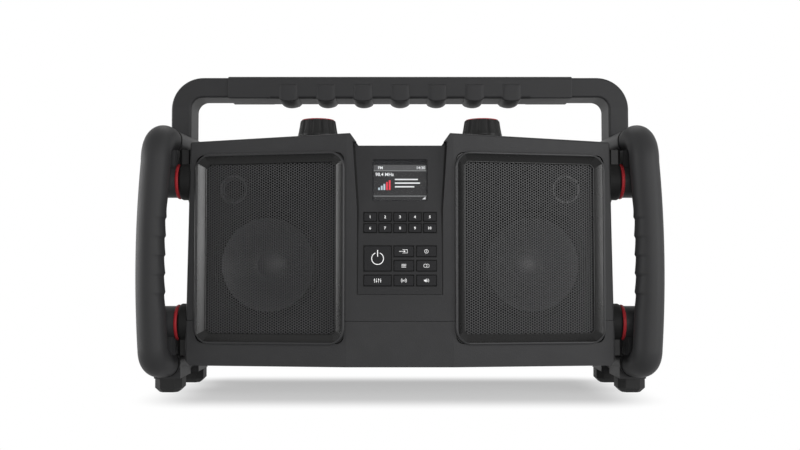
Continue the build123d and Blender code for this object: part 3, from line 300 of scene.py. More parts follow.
def worn_metal(name, colour, roughness):
    """Plated metal with an uneven tone and roughness and a fine grain in its bump."""
    material, tree, shader = new_material(name, {"Metallic": 1.0})
    surface = place_group(tree, GRAIN, Scale=700.0)
    base = mix_colour(tree, surface.outputs["Mottle"], [c * 0.8 for c in colour], colour)
    grained_finish(tree, shader, surface, base, roughness - 0.08, roughness + 0.1, 0.15, 0.0001)
    return material


def clear_window(name):
    """A clear hard-coated pane: nearly transparent, with a faint uneven haze in its roughness."""
    constants = {"Base Color": (0.02, 0.02, 0.022), "Alpha": 0.08, "Specular IOR Level": 0.2}
    material, tree, shader = new_material(name, constants)
    haze = noise_node(tree, object_coordinates(tree), 120.0, 4)
    plug(tree, shader.inputs["Roughness"], map_node(tree, haze, {"To Min": 0.25, "To Max": 0.32}))
    return material


def lit_print(name, colour, strength):
    """Print or screen light: a matt ink with a little light of its own, a painted glow on printed keys, and a
    fine uneven tone.
    """
    constants = {"Emission Strength": strength, "Roughness": 0.5, "Specular IOR Level": 0.1}
    material, tree, shader = new_material(name, constants)
    ink = noise_node(tree, object_coordinates(tree), 1500.0, 2)
    tone = mix_colour(tree, ink, [c * 0.88 for c in colour], colour)
    plug(tree, shader.inputs["Base Color"], tone)
    plug(tree, shader.inputs["Emission Color"], tone)
    return material


FINISHES = {  # each slot's material
    "case": moulded("case_plastic", (0.030, 0.030, 0.031), 0.50, grain=1100.0),
    "panel": moulded("panel_plastic", (0.021, 0.021, 0.022), 0.48, grain=1300.0, depth=0.25),
    # speaker_trim is far darker than the frame's bead: painted shade on the frame's bevel
    "speaker_trim": moulded(
        "speaker_trim", (0.005, 0.005, 0.005), 0.27, grain=1500.0, depth=0.10, specular=0.26
    ),
    "inner_plastic": moulded("inner_plastic", (0.004, 0.004, 0.004), 0.6),
    "cage": moulded("cage_plastic", (0.028, 0.028, 0.029), 0.50, grain=1000.0),
    "rubber": moulded("black_rubber", (0.030, 0.030, 0.031), 0.52, grain=1400.0, depth=0.3),
    "red_rubber": moulded("red_rubber", (0.36, 0.020, 0.026), 0.45, grain=1300.0, depth=0.25),
    "knob": moulded("knob_rubber", (0.012, 0.012, 0.012), 0.42, grain=1500.0, depth=0.2),
    "button": moulded("button_rubber", (0.010, 0.010, 0.011), 0.5, grain=1600.0, depth=0.2),
    "grille": moulded("grille_paint", (0.053, 0.053, 0.054), 0.42, grain=1800.0, depth=0.2, specular=0.2),
    "cone": moulded("cone_pulp", (0.055, 0.055, 0.057), 0.42, grain=700.0, depth=0.12, specular=1.0),
    "board": moulded("board_mask", (0.012, 0.05, 0.03), 0.35, grain=2000.0, depth=0.2, coat=0.3),
    "battery": moulded("battery_wrap", (0.05, 0.05, 0.055), 0.35, grain=500.0, depth=0.2, coat=0.2),
    "display": moulded("display_panel", (0.008, 0.009, 0.011), 0.25, grain=1200.0, depth=0.05),
    "steel": worn_metal("zinc_steel", (0.52, 0.52, 0.53), 0.34),
    "window": clear_window("window_pane"),
}
# The inner plastic's near black, reused below as painted shade in gaps and at seams
INNER_BLACK_AS_SHADE = FINISHES["inner_plastic"]
BEAD = moulded("trim_bead", (0.024, 0.024, 0.025), 0.40, grain=1500.0, depth=0.10, specular=0.26)
BAFFLE = moulded("baffle_plastic", (0.012, 0.012, 0.013), 0.6)
FOOT = moulded("foot_rubber", (0.014, 0.014, 0.014), 0.6, grain=1100.0, depth=0.4)
DOME = moulded("dome_film", (0.004, 0.004, 0.004), 0.40, grain=1500.0, depth=0.1)
# The keys' white print glows a little: a painted glow, since print gives no light of its own
PRINT_PAINTED_GLOW = lit_print("white_print_painted_glow", (0.86, 0.86, 0.86), 0.30)
for subpart in frame["record"]["subparts"]:
    mesh = nodes[subpart["node"]].data
    mesh.materials.clear()
    mesh.materials.append(FINISHES[subpart["material_slot"]])
nodes["feet"].data.materials[0] = FOOT
nodes["speaker_baffles"].data.materials[0] = BAFFLE


# ---- Speakers --------------------------------------------
GRILLE_DEPTH = 0.0060
GRILLE_SHEET = 0.0012
HOLE_PITCH = 0.002607
HOLE_RADIUS = 0.00102
HOLE_SIDES = 8
GRILLE_REACH = 0.0024  # how far hole centres run under the frame


def ring_triangles(outer, inner):
    """Triangles between two rings of directions round one centre, taken in order of their angles, where
    the inner ring is turned by half of its step."""
    faces, i, j = [], 0, 0
    while i < outer or j < inner:
        if j == inner or (i < outer and (i + 1) * inner <= (j + 1.5) * outer):
            faces.append((i % outer, (i + 1) % outer, outer + j % inner))
            i += 1
        else:
            faces.append((i % outer, outer + (j + 1) % inner, outer + j % inner))
            j += 1
    return np.array(faces)


def perforated_sheet(side):
    """Flat sheet with round holes on a triangular lattice. Each hole's cell is a hexagon round a polygon;
    the same ring of triangles closes every cell, front and back, and quads line each hole."""
    step = HOLE_PITCH * sqrt(3) / 2
    columns = int((MESH_HIGH[0] - MESH_LOW[0] + 2 * GRILLE_REACH) / step) + 1
    rows = int((MESH_HIGH[1] - MESH_LOW[1] + 2 * GRILLE_REACH) / HOLE_PITCH) + 2
    i, j = np.meshgrid(np.arange(columns), np.arange(rows), indexing="ij")
    u = MESH_LOW[0] - GRILLE_REACH + i * step
    v = MESH_LOW[1] - GRILLE_REACH + (j + 0.5 * (i % 2)) * HOLE_PITCH
    top = MESH_HIGH[1] - MESH_SLANT * (u - MESH_LOW[0]) / (MESH_HIGH[0] - MESH_LOW[0]) + GRILLE_REACH
    inside = (v <= top) & (u <= MESH_HIGH[0] + GRILLE_REACH)
    u, v = u[inside][:, None], v[inside][:, None]
    hexagon = HOLE_PITCH / sqrt(3)
    (c, s), (hole_c, hole_s) = circle(6), circle(HOLE_SIDES, 0.5)
    corners = np.stack([u + hexagon * c, v + hexagon * s], -1).reshape(-1, 2)
    first, number = welded(corners, HOLE_PITCH / 20)
    number = number.reshape(-1, 6)
    holes = np.stack([u + HOLE_RADIUS * hole_c, v + HOLE_RADIUS * hole_s], -1)
    flat = np.concatenate([corners[first], holes.reshape(-1, 2)])
    hole_number = len(first) + np.arange(holes.size // 2).reshape(-1, HOLE_SIDES)
    cell = np.concatenate([number, hole_number], 1)
    front = cell[:, ring_triangles(6, HOLE_SIDES)].reshape(-1, 3)
    a, b = hole_number, np.roll(hole_number, -1, axis=1)
    lining = np.stack([b, a, a + len(flat), b + len(flat)], -1).reshape(-1, 4)
    edges = np.stack([number, np.roll(number, -1, axis=1)], -1).reshape(-1, 2)
    _, place, uses = np.unique(np.sort(edges, axis=1), axis=0, return_index=True, return_counts=True)
    a, b = edges[place[uses == 1]].T
    border = np.stack([b, a, a + len(flat), b + len(flat)], -1)
    points = np.concatenate([
        speaker_point(flat[:, 0], flat[:, 1], depth, side)
        for depth in (GRILLE_DEPTH, GRILLE_DEPTH + GRILLE_SHEET)
    ])
    return points, front.tolist() + (front + len(flat)).tolist() + lining.tolist() + border.tolist()


CORNER_STEPS = 10


def opening_loop(margin, corner, roundness):
    """The grille opening grown by a margin, as one loop: four straight sides and four corners, each corner
    a blend of its chord (roundness 0) and its arc (roundness 1), sampled at equal turns."""
    low_u, low_v = MESH_LOW[0] - margin, MESH_LOW[1] - margin
    high_u = MESH_HIGH[0] + margin
    inner_top, outer_top = MESH_HIGH[1] + margin, MESH_HIGH[1] - MESH_SLANT + margin
    corners = np.array([(low_u, low_v), (high_u, low_v), (high_u, outer_top), (low_u, inner_top)])
    turn = np.linspace(0, pi / 2, CORNER_STEPS)[:, None]
    share = np.linspace(0, 1, CORNER_STEPS)[:, None]
    loop = []
    for k in range(4):
        here, before, after = corners[k], corners[k - 1], corners[(k + 1) % 4]
        back_way = (before - here) / np.linalg.norm(before - here)
        on_way = (after - here) / np.linalg.norm(after - here)
        chord = here + corner * (back_way * (1 - share) + on_way * share)
        arc = here + corner * (back_way * (1 - np.sin(turn)) + on_way * (1 - np.cos(turn)))
        loop.append(chord * (1 - roundness) + arc * roundness)
    return np.concatenate(loop)


# Section of a speaker frame, from its foot over its bead and down its bevel to the grille:
# growth beyond the opening, height over the case, corner size (all in millimetres), corner roundness.
FRAME_SECTION = [
    (10.2, -1.0, 16.0, 1.0), (10.2, 1.5, 16.0, 1.0), (10.0, 2.3, 16.0, 1.0), (9.4, 2.85, 15.6, 1.0),
    (8.6, 3.0, 15.0, 1.0), (8.0, 2.9, 13.0, 1.0), (7.6, 2.5, 9.6, 0.6), (7.4, 2.0, 7.2, 0.15),
    (7.2, 1.7, 6.4, 0.0), (1.5, -4.0, 4.2, 0.0), (1.2, -4.2, 4.0, 0.05), (0.9, -4.1, 3.9, 0.1),
    (0.3, -4.1, 3.7, 0.1), (0.0, -4.4, 3.6, 0.1), (0.0, -5.9, 3.6, 0.1), (8.6, -5.9, 8.0, 1.0),
    (8.6, -1.0, 8.0, 1.0),
]
BEAD_ROWS = 7  # from the foot over the bead, before the bevel
SHALLOW_ROWS = (9, 10, 11, 12)  # the foot of the bevel, which rises next to the middle of the radio
SHALLOW_LIFT = 0.0017
SHALLOW_REACH = 0.024


def speaker_surround(side):
    """Closed ring: each row is the opening's loop grown by the section's margin, at the section's height.
    The bevel's foot rises along the inner side by a smooth step, 3 s^2 - 2 s^3, of the distance from it."""
    loops = []
    for row, (margin, height, corner, roundness) in enumerate(FRAME_SECTION):
        flat = opening_loop(margin * MM, corner * MM, roundness)
        share = np.clip(1 - (flat[:, 0] - MESH_LOW[0]) / SHALLOW_REACH, 0, 1)
        lift = SHALLOW_LIFT * share**2 * (3 - 2 * share) if row in SHALLOW_ROWS else 0
        loops.append(speaker_point(flat[:, 0], flat[:, 1], -height * MM - lift, side))
    return closed_grid(np.stack(loops))


WOOFER_AXIS = (0.081, 0.129)
TWEETER_AXIS = (0.1155, 0.204)
TURN_STEPS = 96

# Driver sections: (radius, depth) in millimetres from the rim inwards, all closed by a return path.
CONE_SECTION = [
    (46.3, 12.0), (45.0, 12.6), (38.0, 16.6), (30.0, 21.6), (22.0, 27.4), (16.4, 32.0), (15.4, 32.4),
    (14.6, 31.6), (13.0, 30.2), (10.0, 28.6), (6.0, 27.4), (2.0, 26.9), (0.001, 26.9), (0.001, 29.6),
    (12.4, 34.2), (12.4, 56.0), (13.4, 56.0), (13.4, 36.4), (46.3, 13.6),
]
SURROUND_SECTION = [
    (46.5, 12.6), (47.3, 10.9), (48.6, 9.9), (50.2, 9.5), (51.8, 9.9), (53.0, 10.9), (53.6, 12.2),
    (54.2, 12.95), (51.2, 12.95), (50.9, 11.9), (50.2, 11.2), (48.6, 11.4), (47.4, 12.9),
]
TWEETER_SECTION = [
    (19.5, 13.0), (14.6, 13.0), (14.2, 11.6), (13.6, 11.1), (12.4, 11.2), (11.2, 12.6), (9.9, 13.2),
    (9.9, 30.0), (17.0, 30.0), (17.0, 15.2), (19.5, 15.2),
]
DOME_SECTION = [
    (9.8, 13.3), (9.4, 12.4), (8.6, 11.0), (7.0, 10.1), (4.5, 9.75), (2.0, 9.62), (0.001, 9.6),
    (0.001, 20.0), (9.8, 20.0),
]


def turned_driver(section, axis, side):
    """Surface of revolution of a (radius, depth) section about a driver's axis on the swept front."""
    c, s = circle(TURN_STEPS)
    radius, depth = (np.array(section) * MM).T[..., None]
    return closed_grid(speaker_point(axis[0] + radius * c, axis[1] + radius * s, depth + 0 * c, side))


def driver_pair(section, axis):
    """The same turned part of the left and the right speaker."""
    return merged([turned_driver(section, axis, side) for side, _ in SIDES])


for side, word in SIDES:
    sheet = make_piece(f"perforated_grille_{word}", *perforated_sheet(side), "grille", angle=30)
    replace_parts(sheet, f"grille_{word}")
    surround = make_piece(f"speaker_surround_{word}", *speaker_surround(side), "speaker_trim", angle=24)
    # The bead rows take BEAD, the frame's own colour; the bevel rows keep the near black speaker_trim, a
    # painted shade
    surround.data.materials.append(BEAD)
    face_rows = np.repeat(np.arange(len(FRAME_SECTION)), len(surround.data.polygons) // len(FRAME_SECTION))
    surround.data.polygons.foreach_set("material_index", (face_rows < BEAD_ROWS).astype(np.int32))
    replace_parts(surround, f"speaker_frame_{word}")
    shape, moving = turned_driver(CONE_SECTION, WOOFER_AXIS, side), f"woofer_cone_{word}"
    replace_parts(make_piece(f"ribbed_cone_{word}", *shape, "cone", moving), moving)
rolls = make_piece("rolled_surrounds", *driver_pair(SURROUND_SECTION, WOOFER_AXIS), "rubber", material=DOME)
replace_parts(rolls, "woofer_surrounds")
flanges = make_piece("tweeter_flanges", *driver_pair(TWEETER_SECTION, TWEETER_AXIS), "cone")
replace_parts(flanges, "tweeters")
make_piece("tweeter_domes", *driver_pair(DOME_SECTION, TWEETER_AXIS), "cone", material=DOME)


# ---- Cage ------------------------------------------------
CAGE_HALF_DEPTH = 0.0855
TUBE_RADIUS = 0.0143
ELBOW_RADIUS = 0.027
ELBOW_STEPS = 22
CAGE_LOW, CAGE_HIGH = 0.031, 0.253
FRONT_SEAM_X, REAR_SEAM_X = 0.235, 0.228
BAR_REACH, BAR_WIDEST = 0.2448, 0.130  # a front bar's centre line at its widest, and the height of that
BAR_BOW = 0.41
BAR_ENDS = (0.2300, 0.0470)
BAR_STEPS = 169
# Inner control points of the front elbows: from the connector's seam, and from the end of the bar.
UPPER_PULL, UPPER_ENTRY = (0.0025, -0.0149, 0.0055), (0.0004, 0, 0.0200)
LOWER_PULL, LOWER_ENTRY = (0.0050, -0.0149, -0.0010), (-0.0004, 0, -0.0135)
RIDGE_PITCH = 0.0187  # finger ridges along the inner side of a front bar
RIDGE_TOP = 0.1742
RIDGE_COUNT = 5
RIDGE_DEPTH = 0.0013
RIDGE_RISE = 0.88  # the part of a ridge over which it swells
RIDGE_LEAD, RIDGE_FADE = 0.022, 0.02  # how far above and below the ridges the bar is flatter
SECTION_STEPS = 48
END_ROUND, END_STEP = 0.0007, 0.3  # rounding of a sleeve's ends, and its middle row's share of it


def front_elbow(bar, seam_z, pull, entry):
    """Cubic Bezier curve from a connector's seam to an end of a front bar."""
    t = np.linspace(0, 1, ELBOW_STEPS + 1)[:, None]
    seam = np.array([FRONT_SEAM_X, ELBOW_RADIUS - CAGE_HALF_DEPTH, seam_z])
    ends = (1 - t) ** 3 * seam + t**3 * bar
    return ends + 3 * (1 - t) ** 2 * t * (seam + pull) + 3 * (1 - t) * t**2 * (bar + entry)


def front_bar_path():
    """Centre line of a front bar: an elbow that turns forward and down out of the upper connector, a
    slightly bowed bar (a parabola in z), and an elbow that turns back into the lower connector."""
    z = np.linspace(*BAR_ENDS, BAR_STEPS + 1)
    bar = np.stack([BAR_REACH - BAR_BOW * (z - BAR_WIDEST) ** 2, 0 * z - CAGE_HALF_DEPTH, z], -1)
    upper = front_elbow(bar[0], CAGE_HIGH, UPPER_PULL, UPPER_ENTRY)
    lower = front_elbow(bar[-1], CAGE_LOW, LOWER_PULL, LOWER_ENTRY)
    return np.concatenate([upper[:-1], bar[:-1], lower[::-1]])


def rear_bar_path():
    """Centre line of a rear bar: a straight bar between two quarter arcs."""
    seam_y = CAGE_HALF_DEPTH - ELBOW_RADIUS
    turn = np.linspace(0, pi / 2, ELBOW_STEPS)
    y, z = seam_y + ELBOW_RADIUS * np.sin(turn), CAGE_HIGH - ELBOW_RADIUS * (1 - np.cos(turn))
    upper = np.stack([REAR_SEAM_X + 0 * turn, y, z], -1)
    lower = upper[::-1] * [1, 1, -1] + [0, 0, CAGE_LOW + CAGE_HIGH]
    return np.concatenate([upper, lower])


def ridge_height(z):
    """Finger ridges: each swells slowly downwards and ends in a short step, like the teeth of a rasp."""
    place = (RIDGE_TOP - z) / RIDGE_PITCH
    share = place - np.floor(place)
    swell, step = np.clip(share / RIDGE_RISE, 0, 1), np.clip((1 - share) / (1 - RIDGE_RISE), 0, 1)
    return RIDGE_DEPTH * swell**1.5 * step * (place > -1) * (place < RIDGE_COUNT - 1)


def bar_middle(z):
    """1 along the ridged stretch of a bar and 0 towards its elbows, with smooth ends."""
    low = RIDGE_TOP - (RIDGE_COUNT - 1) * RIDGE_PITCH
    above, below = (RIDGE_TOP + RIDGE_LEAD - z) / RIDGE_FADE, (z - low + RIDGE_FADE) / RIDGE_FADE
    rise = np.clip(above, 0, 1) * np.clip(below, 0, 1)
    return rise * rise * (3 - 2 * rise)


def bar_sleeve(path, ridged, side):
    """Round sleeve swept along a centre line, with rounded ends and closing caps. A ridged sleeve is a
    little flatter towards the case, by the square of the cosine round the bar, and its ridges rise there."""
    ahead = np.gradient(path, axis=0)
    tangent = ahead / np.linalg.norm(ahead, axis=1)[:, None]
    first = [path[:1] + tangent[:1] * END_ROUND * k for k in (0, END_STEP)]
    last = [path[-1:] - tangent[-1:] * END_ROUND * k for k in (END_STEP, 0)]
    path = np.concatenate([*first, path[1:-1], *last])
    tangent = np.concatenate([tangent[:1], tangent, tangent[-1:]])
    trim = np.zeros(len(path))
    trim[[0, -1]], trim[[1, -2]] = END_ROUND, END_ROUND * END_STEP
    outward = np.array([1.0, 0, 0]) - tangent * tangent[:, :1]
    outward /= np.linalg.norm(outward, axis=1)[:, None]
    sideways = np.cross(tangent, outward)
    c, s = circle(SECTION_STEPS)
    height = path[:, 2]
    flatter = ridged * bar_middle(height) * (RIDGE_DEPTH - ridge_height(height))
    radius = TUBE_RADIUS - trim[:, None] - flatter[:, None] * np.clip(-c, 0, 1) ** 2
    spokes = outward[:, None] * (radius * c)[..., None] + sideways[:, None] * (radius * s)[..., None]
    return closed_grid((path[:, None] + spokes) * [side, 1, 1], capped=True)


for side, word in SIDES:
    ridged, plain = bar_sleeve(front_bar_path(), 1, side), bar_sleeve(rear_bar_path(), 0, side)
    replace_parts(make_piece(f"ridged_sleeve_{word}", *ridged, "rubber", angle=50), f"front_sleeve_{word}")
    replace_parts(make_piece(f"plain_sleeve_{word}", *plain, "rubber", angle=50), f"rear_sleeve_{word}")

MOUNT_PLACES = [(y, z) for y in (-0.0605, 0.051) for z in (0.071, 0.213)]
RING_X, RING_WIDTH = 0.2203, 0.0035
RING_STEPS = 64
# Section of a damping ring: distance from its inner side and radius, in millimetres. Its rim bulges.
RING_SECTION = [
    (0, 4.3), (0, 16.9), (0.3, 17.6), (1.0, 17.9), (1.75, 18.0), (2.5, 17.9), (3.2, 17.6), (3.5, 16.9),
    (3.5, 4.3),
]


def damping_ring(y, z, side):
    """Surface of revolution of the ring's section about a bolt's axis, which runs along X."""
    c, s = circle(RING_STEPS)
    x, radius = (np.array(RING_SECTION) * MM).T[..., None]
    return closed_grid(np.stack([side * (RING_X + x + 0 * c), y + radius * c, z + radius * s], -1))


rings = [damping_ring(y, z, side) for side, _ in SIDES for y, z in MOUNT_PLACES]
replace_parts(make_piece("rounded_rings", *merged(rings), "red_rubber"), "damping_rings")

WEB_Y = (-0.0700, -0.0500)
WEB_CUT = 0.003
OUTER_WEBS = [  # x from and to, z from and to: above and below the front bosses, outside their red rings
    (RING_X + RING_WIDTH, 0.2345, 0.2270, 0.2440), (RING_X + RING_WIDTH, 0.2345, 0.0390, 0.0570),
]
INNER_WEBS = [(0.2085, RING_X + 0.0010, 0.2180, 0.2440), (0.2085, RING_X + 0.0010, 0.0390, 0.0660)]
SEAM_WIRE = 0.0005
WIRE_STEPS = 10


def web_block(side, x0, x1, low, high):
    """A rib between a front boss and the connector next to it, with an octagonal plan."""
    (y0, y1), cut = WEB_Y, WEB_CUT
    plan = [
        (x0, y0 + cut), (x0 + cut, y0), (x1 - cut, y0), (x1, y0 + cut),
        (x1, y1 - cut), (x1 - cut, y1), (x0 + cut, y1), (x0, y1 - cut),
    ]
    return plate(plan, lambda x, y, z: np.stack([side * x, y, z + 0 * x], -1), low, high)


def seam_ring(side, start, onward):
    """A thin torus round a sleeve's end: around its centre, across its direction."""
    onward = onward / np.linalg.norm(onward)
    across = np.cross(onward, (0, 0, 1.0))
    across /= np.linalg.norm(across)
    upward = np.cross(across, onward)
    c, s = np.array(circle(RING_STEPS))[..., None, None]
    out, along = np.array(circle(WIRE_STEPS))[..., None]
    spokes = (TUBE_RADIUS + SEAM_WIRE * (0.5 + out)) * (across * c + upward * s)
    return closed_grid((start + spokes + SEAM_WIRE * along * onward) * [side, 1, 1])


# The inner webs are the same cage ribs as the outer ones, in the darker knob material: painted shade round
# the bosses
for name, webs, finish in (("boss_webs", OUTER_WEBS, "cage"), ("inner_webs_painted_shade", INNER_WEBS, "knob")):
    blocks = [web_block(side, *web) for side, _ in SIDES for web in webs]
    make_piece(name, *merged(blocks), "cage", material=FINISHES[finish], angle=25)
# Near black rings round the front sleeves' ends: painted shade of the gap where each sleeve meets its
# connector
path = front_bar_path()
ends = ((path[0], path[1] - path[0]), (path[-1], path[-2] - path[-1]))
seams = [seam_ring(side, *end) for side, _ in SIDES for end in ends]
make_piece("sleeve_seam_shade", *merged(seams), "cage", material=INNER_BLACK_AS_SHADE)

# ---- Handle grip -----------------------------------------
GRIP_HALF = 0.184
GRIP_FRONT, GRIP_BACK = -0.0087, 0.0337
GRIP_TOP, GRIP_LOW = 0.3304, 0.3068
BUMP_COUNT, BUMP_PITCH, BUMP_RADIUS = 7, 0.03976, 0.0104
BUMP_DROP, BUMP_SWELL = 0.0035, 0.0030
PAD_PROUD, PAD_TOP, PAD_HALF = 0.0013, 0.3216, 0.0093
PAD_STEP = 0.0007  # height over which a pad's upper edge comes out
GRIP_ROUND = 0.0034
PAD_TIGHTER = 0.55  # how much smaller the lower corner's radius is under a pad
END_CORNER = 0.45  # the lower corner's share of GRIP_ROUND beyond the bumps
GRIP_ROWS = 520
END_LENGTH = 0.0006
END_SHARE = (1, 0.985, 0.97)  # the end sections' size against the last full one
FACE_STEPS, CORNER_ARC, FLOOR_STEPS = 26, 7, 15


def bump_shape(x):
    """For each x: how far a bump hangs down (a circle's arc), and how far a front pad swells: a flatter
    arc that rises steeply at the pad's sides and is nearly level over its middle."""
    centre = np.clip(np.round(x / BUMP_PITCH), -(BUMP_COUNT // 2), BUMP_COUNT // 2) * BUMP_PITCH
    away = np.abs(x - centre)
    arc = np.sqrt(np.clip(1 - (away / BUMP_RADIUS) ** 2, 0, 1))
    return arc, np.clip(1 - (away / PAD_HALF) ** 4, 0, 1) ** 0.5


def grip_section(x):
    """Closed section of the grip at each x, front face, lower corner, floor, back and top in turn. The
    pads stand proud of the front and back, and the floor sags into a barrel under each bump."""
    arc, pad = bump_shape(x)
    x, arc, pad = x[:, None], arc[:, None], pad[:, None]
    reach = np.abs(x) < (BUMP_COUNT / 2) * BUMP_PITCH
    corner = GRIP_ROUND * np.where(reach, 1 - PAD_TIGHTER * pad, END_CORNER)
    low = GRIP_LOW - BUMP_DROP * arc
    top = GRIP_TOP - GRIP_ROUND
    z_face = top - np.linspace(0, 1, FACE_STEPS) * (top - low - corner)
    y_face = GRIP_FRONT - PAD_PROUD * pad * np.clip((PAD_TOP - z_face) / PAD_STEP, 0, 1)
    quarter = np.linspace(0, pi / 2, CORNER_ARC)
    turn = quarter[1:-1]
    y_corner = GRIP_FRONT - PAD_PROUD * pad + corner * (1 - np.cos(turn))
    z_corner = low + corner * (1 - np.sin(turn))
    share = np.linspace(0, 1, FLOOR_STEPS)
    first = GRIP_FRONT - PAD_PROUD * pad + corner
    last = GRIP_BACK + PAD_PROUD * pad - corner
    y_floor = first + share * (last - first)
    z_floor = low - BUMP_SWELL * arc * 4 * share * (1 - share)
    y_top = 0 * x + GRIP_FRONT + GRIP_ROUND * (1 - np.sin(quarter[:-1]))
    z_top = 0 * x + GRIP_TOP - GRIP_ROUND * (1 - np.cos(quarter[:-1]))
    y_front = np.concatenate([y_top, y_face, y_corner], 1)
    z_front = np.concatenate([z_top, z_face, z_corner], 1)
    y = np.concatenate([y_front, y_floor, GRIP_FRONT + GRIP_BACK - y_front[:, ::-1]], 1)
    z = np.concatenate([z_front, z_floor, z_front[:, ::-1]], 1)
    return np.stack([x + 0 * y, y, z], -1)


def bumped_grip():
    """Grip surface: even sections along X, with slightly smaller closed ends."""
    x = np.linspace(END_LENGTH - GRIP_HALF, GRIP_HALF - END_LENGTH, GRIP_ROWS)
    rows = grip_section(x)
    centre = np.array([0, (GRIP_FRONT + GRIP_BACK) / 2, (GRIP_TOP + GRIP_LOW) / 2])
    ends = []
    for row, end in ((rows[0], -1), (rows[-1], 1)):
        shrunk = centre + (row - centre) * END_SHARE
        shrunk[:, 0] = end * GRIP_HALF
        ends.append(shrunk[None])
    return closed_grid(np.concatenate([ends[0], rows, ends[1]]), capped=True)


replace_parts(make_piece("bumped_grip", *bumped_grip(), "rubber", angle=32), "handle_grip")

# ---- Knobs -----------------------------------------------
KNOB_X, KNOB_Y = 0.083, -0.0595
FLUTES = 12
FLUTE_DEPTH = 0.0013
# Knob sections: radius and height in millimetres, and the share of the flutes' depth where it isn't 0.
KNOB_SECTION = [
    (3.0, 257.6), (19.6, 257.6), (20.2, 258.2), (20.3, 259.2, 0.1), (20.2, 260.2, 0.6), (19.9, 261.2, 1.0),
    (19.4, 263.5, 1.0), (18.7, 267.5, 1.0), (18.1, 271.5, 1.0), (17.8, 273.2, 1.0), (17.5, 274.0, 0.9),
    (16.9, 274.45, 0.6), (16.0, 274.5, 0.2), (15.1, 274.45), (14.9, 273.8), (3.0, 273.8),
]
INSERT_SECTION = [
    (14.8, 273.7), (16.3, 274.2), (16.5, 274.8), (16.2, 275.2), (15.0, 275.3), (12.8, 274.8),
    (12.3, 274.0), (12.0, 273.7),
]
CAP_SECTION = [
    (11.8, 273.6), (11.8, 274.2), (11.3, 274.4), (8.0, 274.25), (4.0, 274.0), (0.01, 273.95),
    (0.01, 273.6),
]


def fluted_ring(section, centre_x, steps):
    """Surface of revolution of a section about a knob's axis. Its radius dips by the flutes' depth in
    FLUTES rounded valleys, each the sharpened trough of a cosine round the axis."""
    c, s = circle(steps)
    radius, height, share = np.array([(*row, 0.0)[:3] for row in section]).T[..., None]
    valley = (0.5 - 0.5 * np.cos(FLUTES * np.arange(steps) * 2 * pi / steps)) ** 5
    r = radius * MM - FLUTE_DEPTH * share * valley
    return closed_grid(np.stack([centre_x + r * s, KNOB_Y - r * c, height * MM + 0 * r], -1))


for body, x in (("volume_knob", -KNOB_X), ("tuning_knob", KNOB_X)):
    shape = fluted_ring(KNOB_SECTION, x, 16 * FLUTES)
    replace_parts(make_piece(f"fluted_{body}", *shape, "knob", body, angle=35), body)
    make_piece(f"{body}_ring", *fluted_ring(INSERT_SECTION, x, 8 * FLUTES), "red_rubber", body)
    make_piece(f"{body}_cap", *fluted_ring(CAP_SECTION, x, 8 * FLUTES), "knob", body)


# ---- Display and print -----------------------------------
DISPLAY_UP = (0.2115 - PANEL_KNEE) / cos(PANEL_LEAN)
SCREEN_HALF = (0.0258, 0.0174)
SCREEN_DROP = 0.0019  # the lit field sits low in its window
SCREEN_DEPTH = 0.00288
SCREEN_LAYER = 0.0001
TOP_BAR = 0.0056
THIN_LINE = 0.0005
SMALL_TEXT, LARGE_TEXT, PRESET_TEXT = 0.0040, 0.0046, 0.0037
TEXT_BOLD = 0.022  # growth of the characters' outline, as a share of their size
PRINT_RISE = 0.00004
PRINT_SHEET = 0.00006
BUTTON_RISE = 0.0008
FACE_DEPTH = -BUTTON_RISE - PRINT_RISE


def bar_outline(x, z, width, height):
    """Rectangle about a centre."""
    w, h = width / 2, height / 2
    return [(x - w, z - h), (x + w, z - h), (x + w, z + h), (x - w, z + h)]


def arc_band(x, z, inner, outer, start, stop, place, front, back, steps=28):
    """Thin closed band between two circles, from a start angle to a stop angle in degrees."""
    turn = np.radians(np.linspace(start, stop, steps))
    radius = np.array([[outer], [inner]])
    a, b = (x + radius * np.cos(turn)).ravel(), (z + radius * np.sin(turn)).ravel()
    points = np.concatenate([place(a, b, depth) for depth in (front, back)])
    k, total = np.arange(steps - 1), 2 * steps
    face = np.stack([k + 1, k, k + steps, k + 1 + steps], 1)
    outer_wall = np.stack([k, k + 1, k + 1 + total, k + total], 1)
    faces = np.concatenate([face, face + total, outer_wall, outer_wall + steps]).tolist()
    ends = [[k, total + k, total + steps + k, steps + k] for k in (0, steps - 1)]
    return points, faces + ends


def text_shape(words, size, x, z, place, depth):
    """Plain characters as a thin closed shape, centred on (x, z) of a panel, with no doubled points."""
    curve = bpy.data.curves.new("characters", "FONT")
    curve.body = words
    curve.size = size
    curve.extrude = PRINT_SHEET / 2
    curve.offset = size * TEXT_BOLD
    curve.resolution_u = 3
    letters = new_object("characters", curve)
    mesh = bpy.data.meshes.new_from_object(letters.evaluated_get(bpy.context.evaluated_depsgraph_get()))
    co = np.array([tuple(v.co) for v in mesh.vertices])
    faces = [list(p.vertices) for p in mesh.polygons]
    bpy.data.objects.remove(letters)
    bpy.data.curves.remove(curve)
    bpy.data.meshes.remove(mesh)
    first, number = welded(co, 1e-7)
    co, faces = co[first], [[number[v] for v in face] for face in faces]
    co[:, :2] -= (co[:, :2].max(0) + co[:, :2].min(0)) / 2
    return place(x + co[:, 0], z + co[:, 1], depth - co[:, 2]), faces


def screen_point(x, z, depth):
    """Point of the display, from its own centre."""
    return panel_point(x, DISPLAY_UP - SCREEN_DROP + z, depth)


def screen_plate(corners, layer):
    """A lit convex shape of the display, on one of its thin layers."""
    depth = SCREEN_DEPTH - SCREEN_LAYER * layer
    return plate(corners, screen_point, depth, depth + SCREEN_LAYER)


def screen_bar(x, z, width, height, layer=1):
    """A lit bar of the display."""
    return screen_plate(bar_outline(x, z, width, height), layer)


def screen_text(words, size, x, z):
    """Lit characters of the display, on its front layer."""
    return text_shape(words, size, x, z, screen_point, SCREEN_DEPTH - 2 * SCREEN_LAYER)


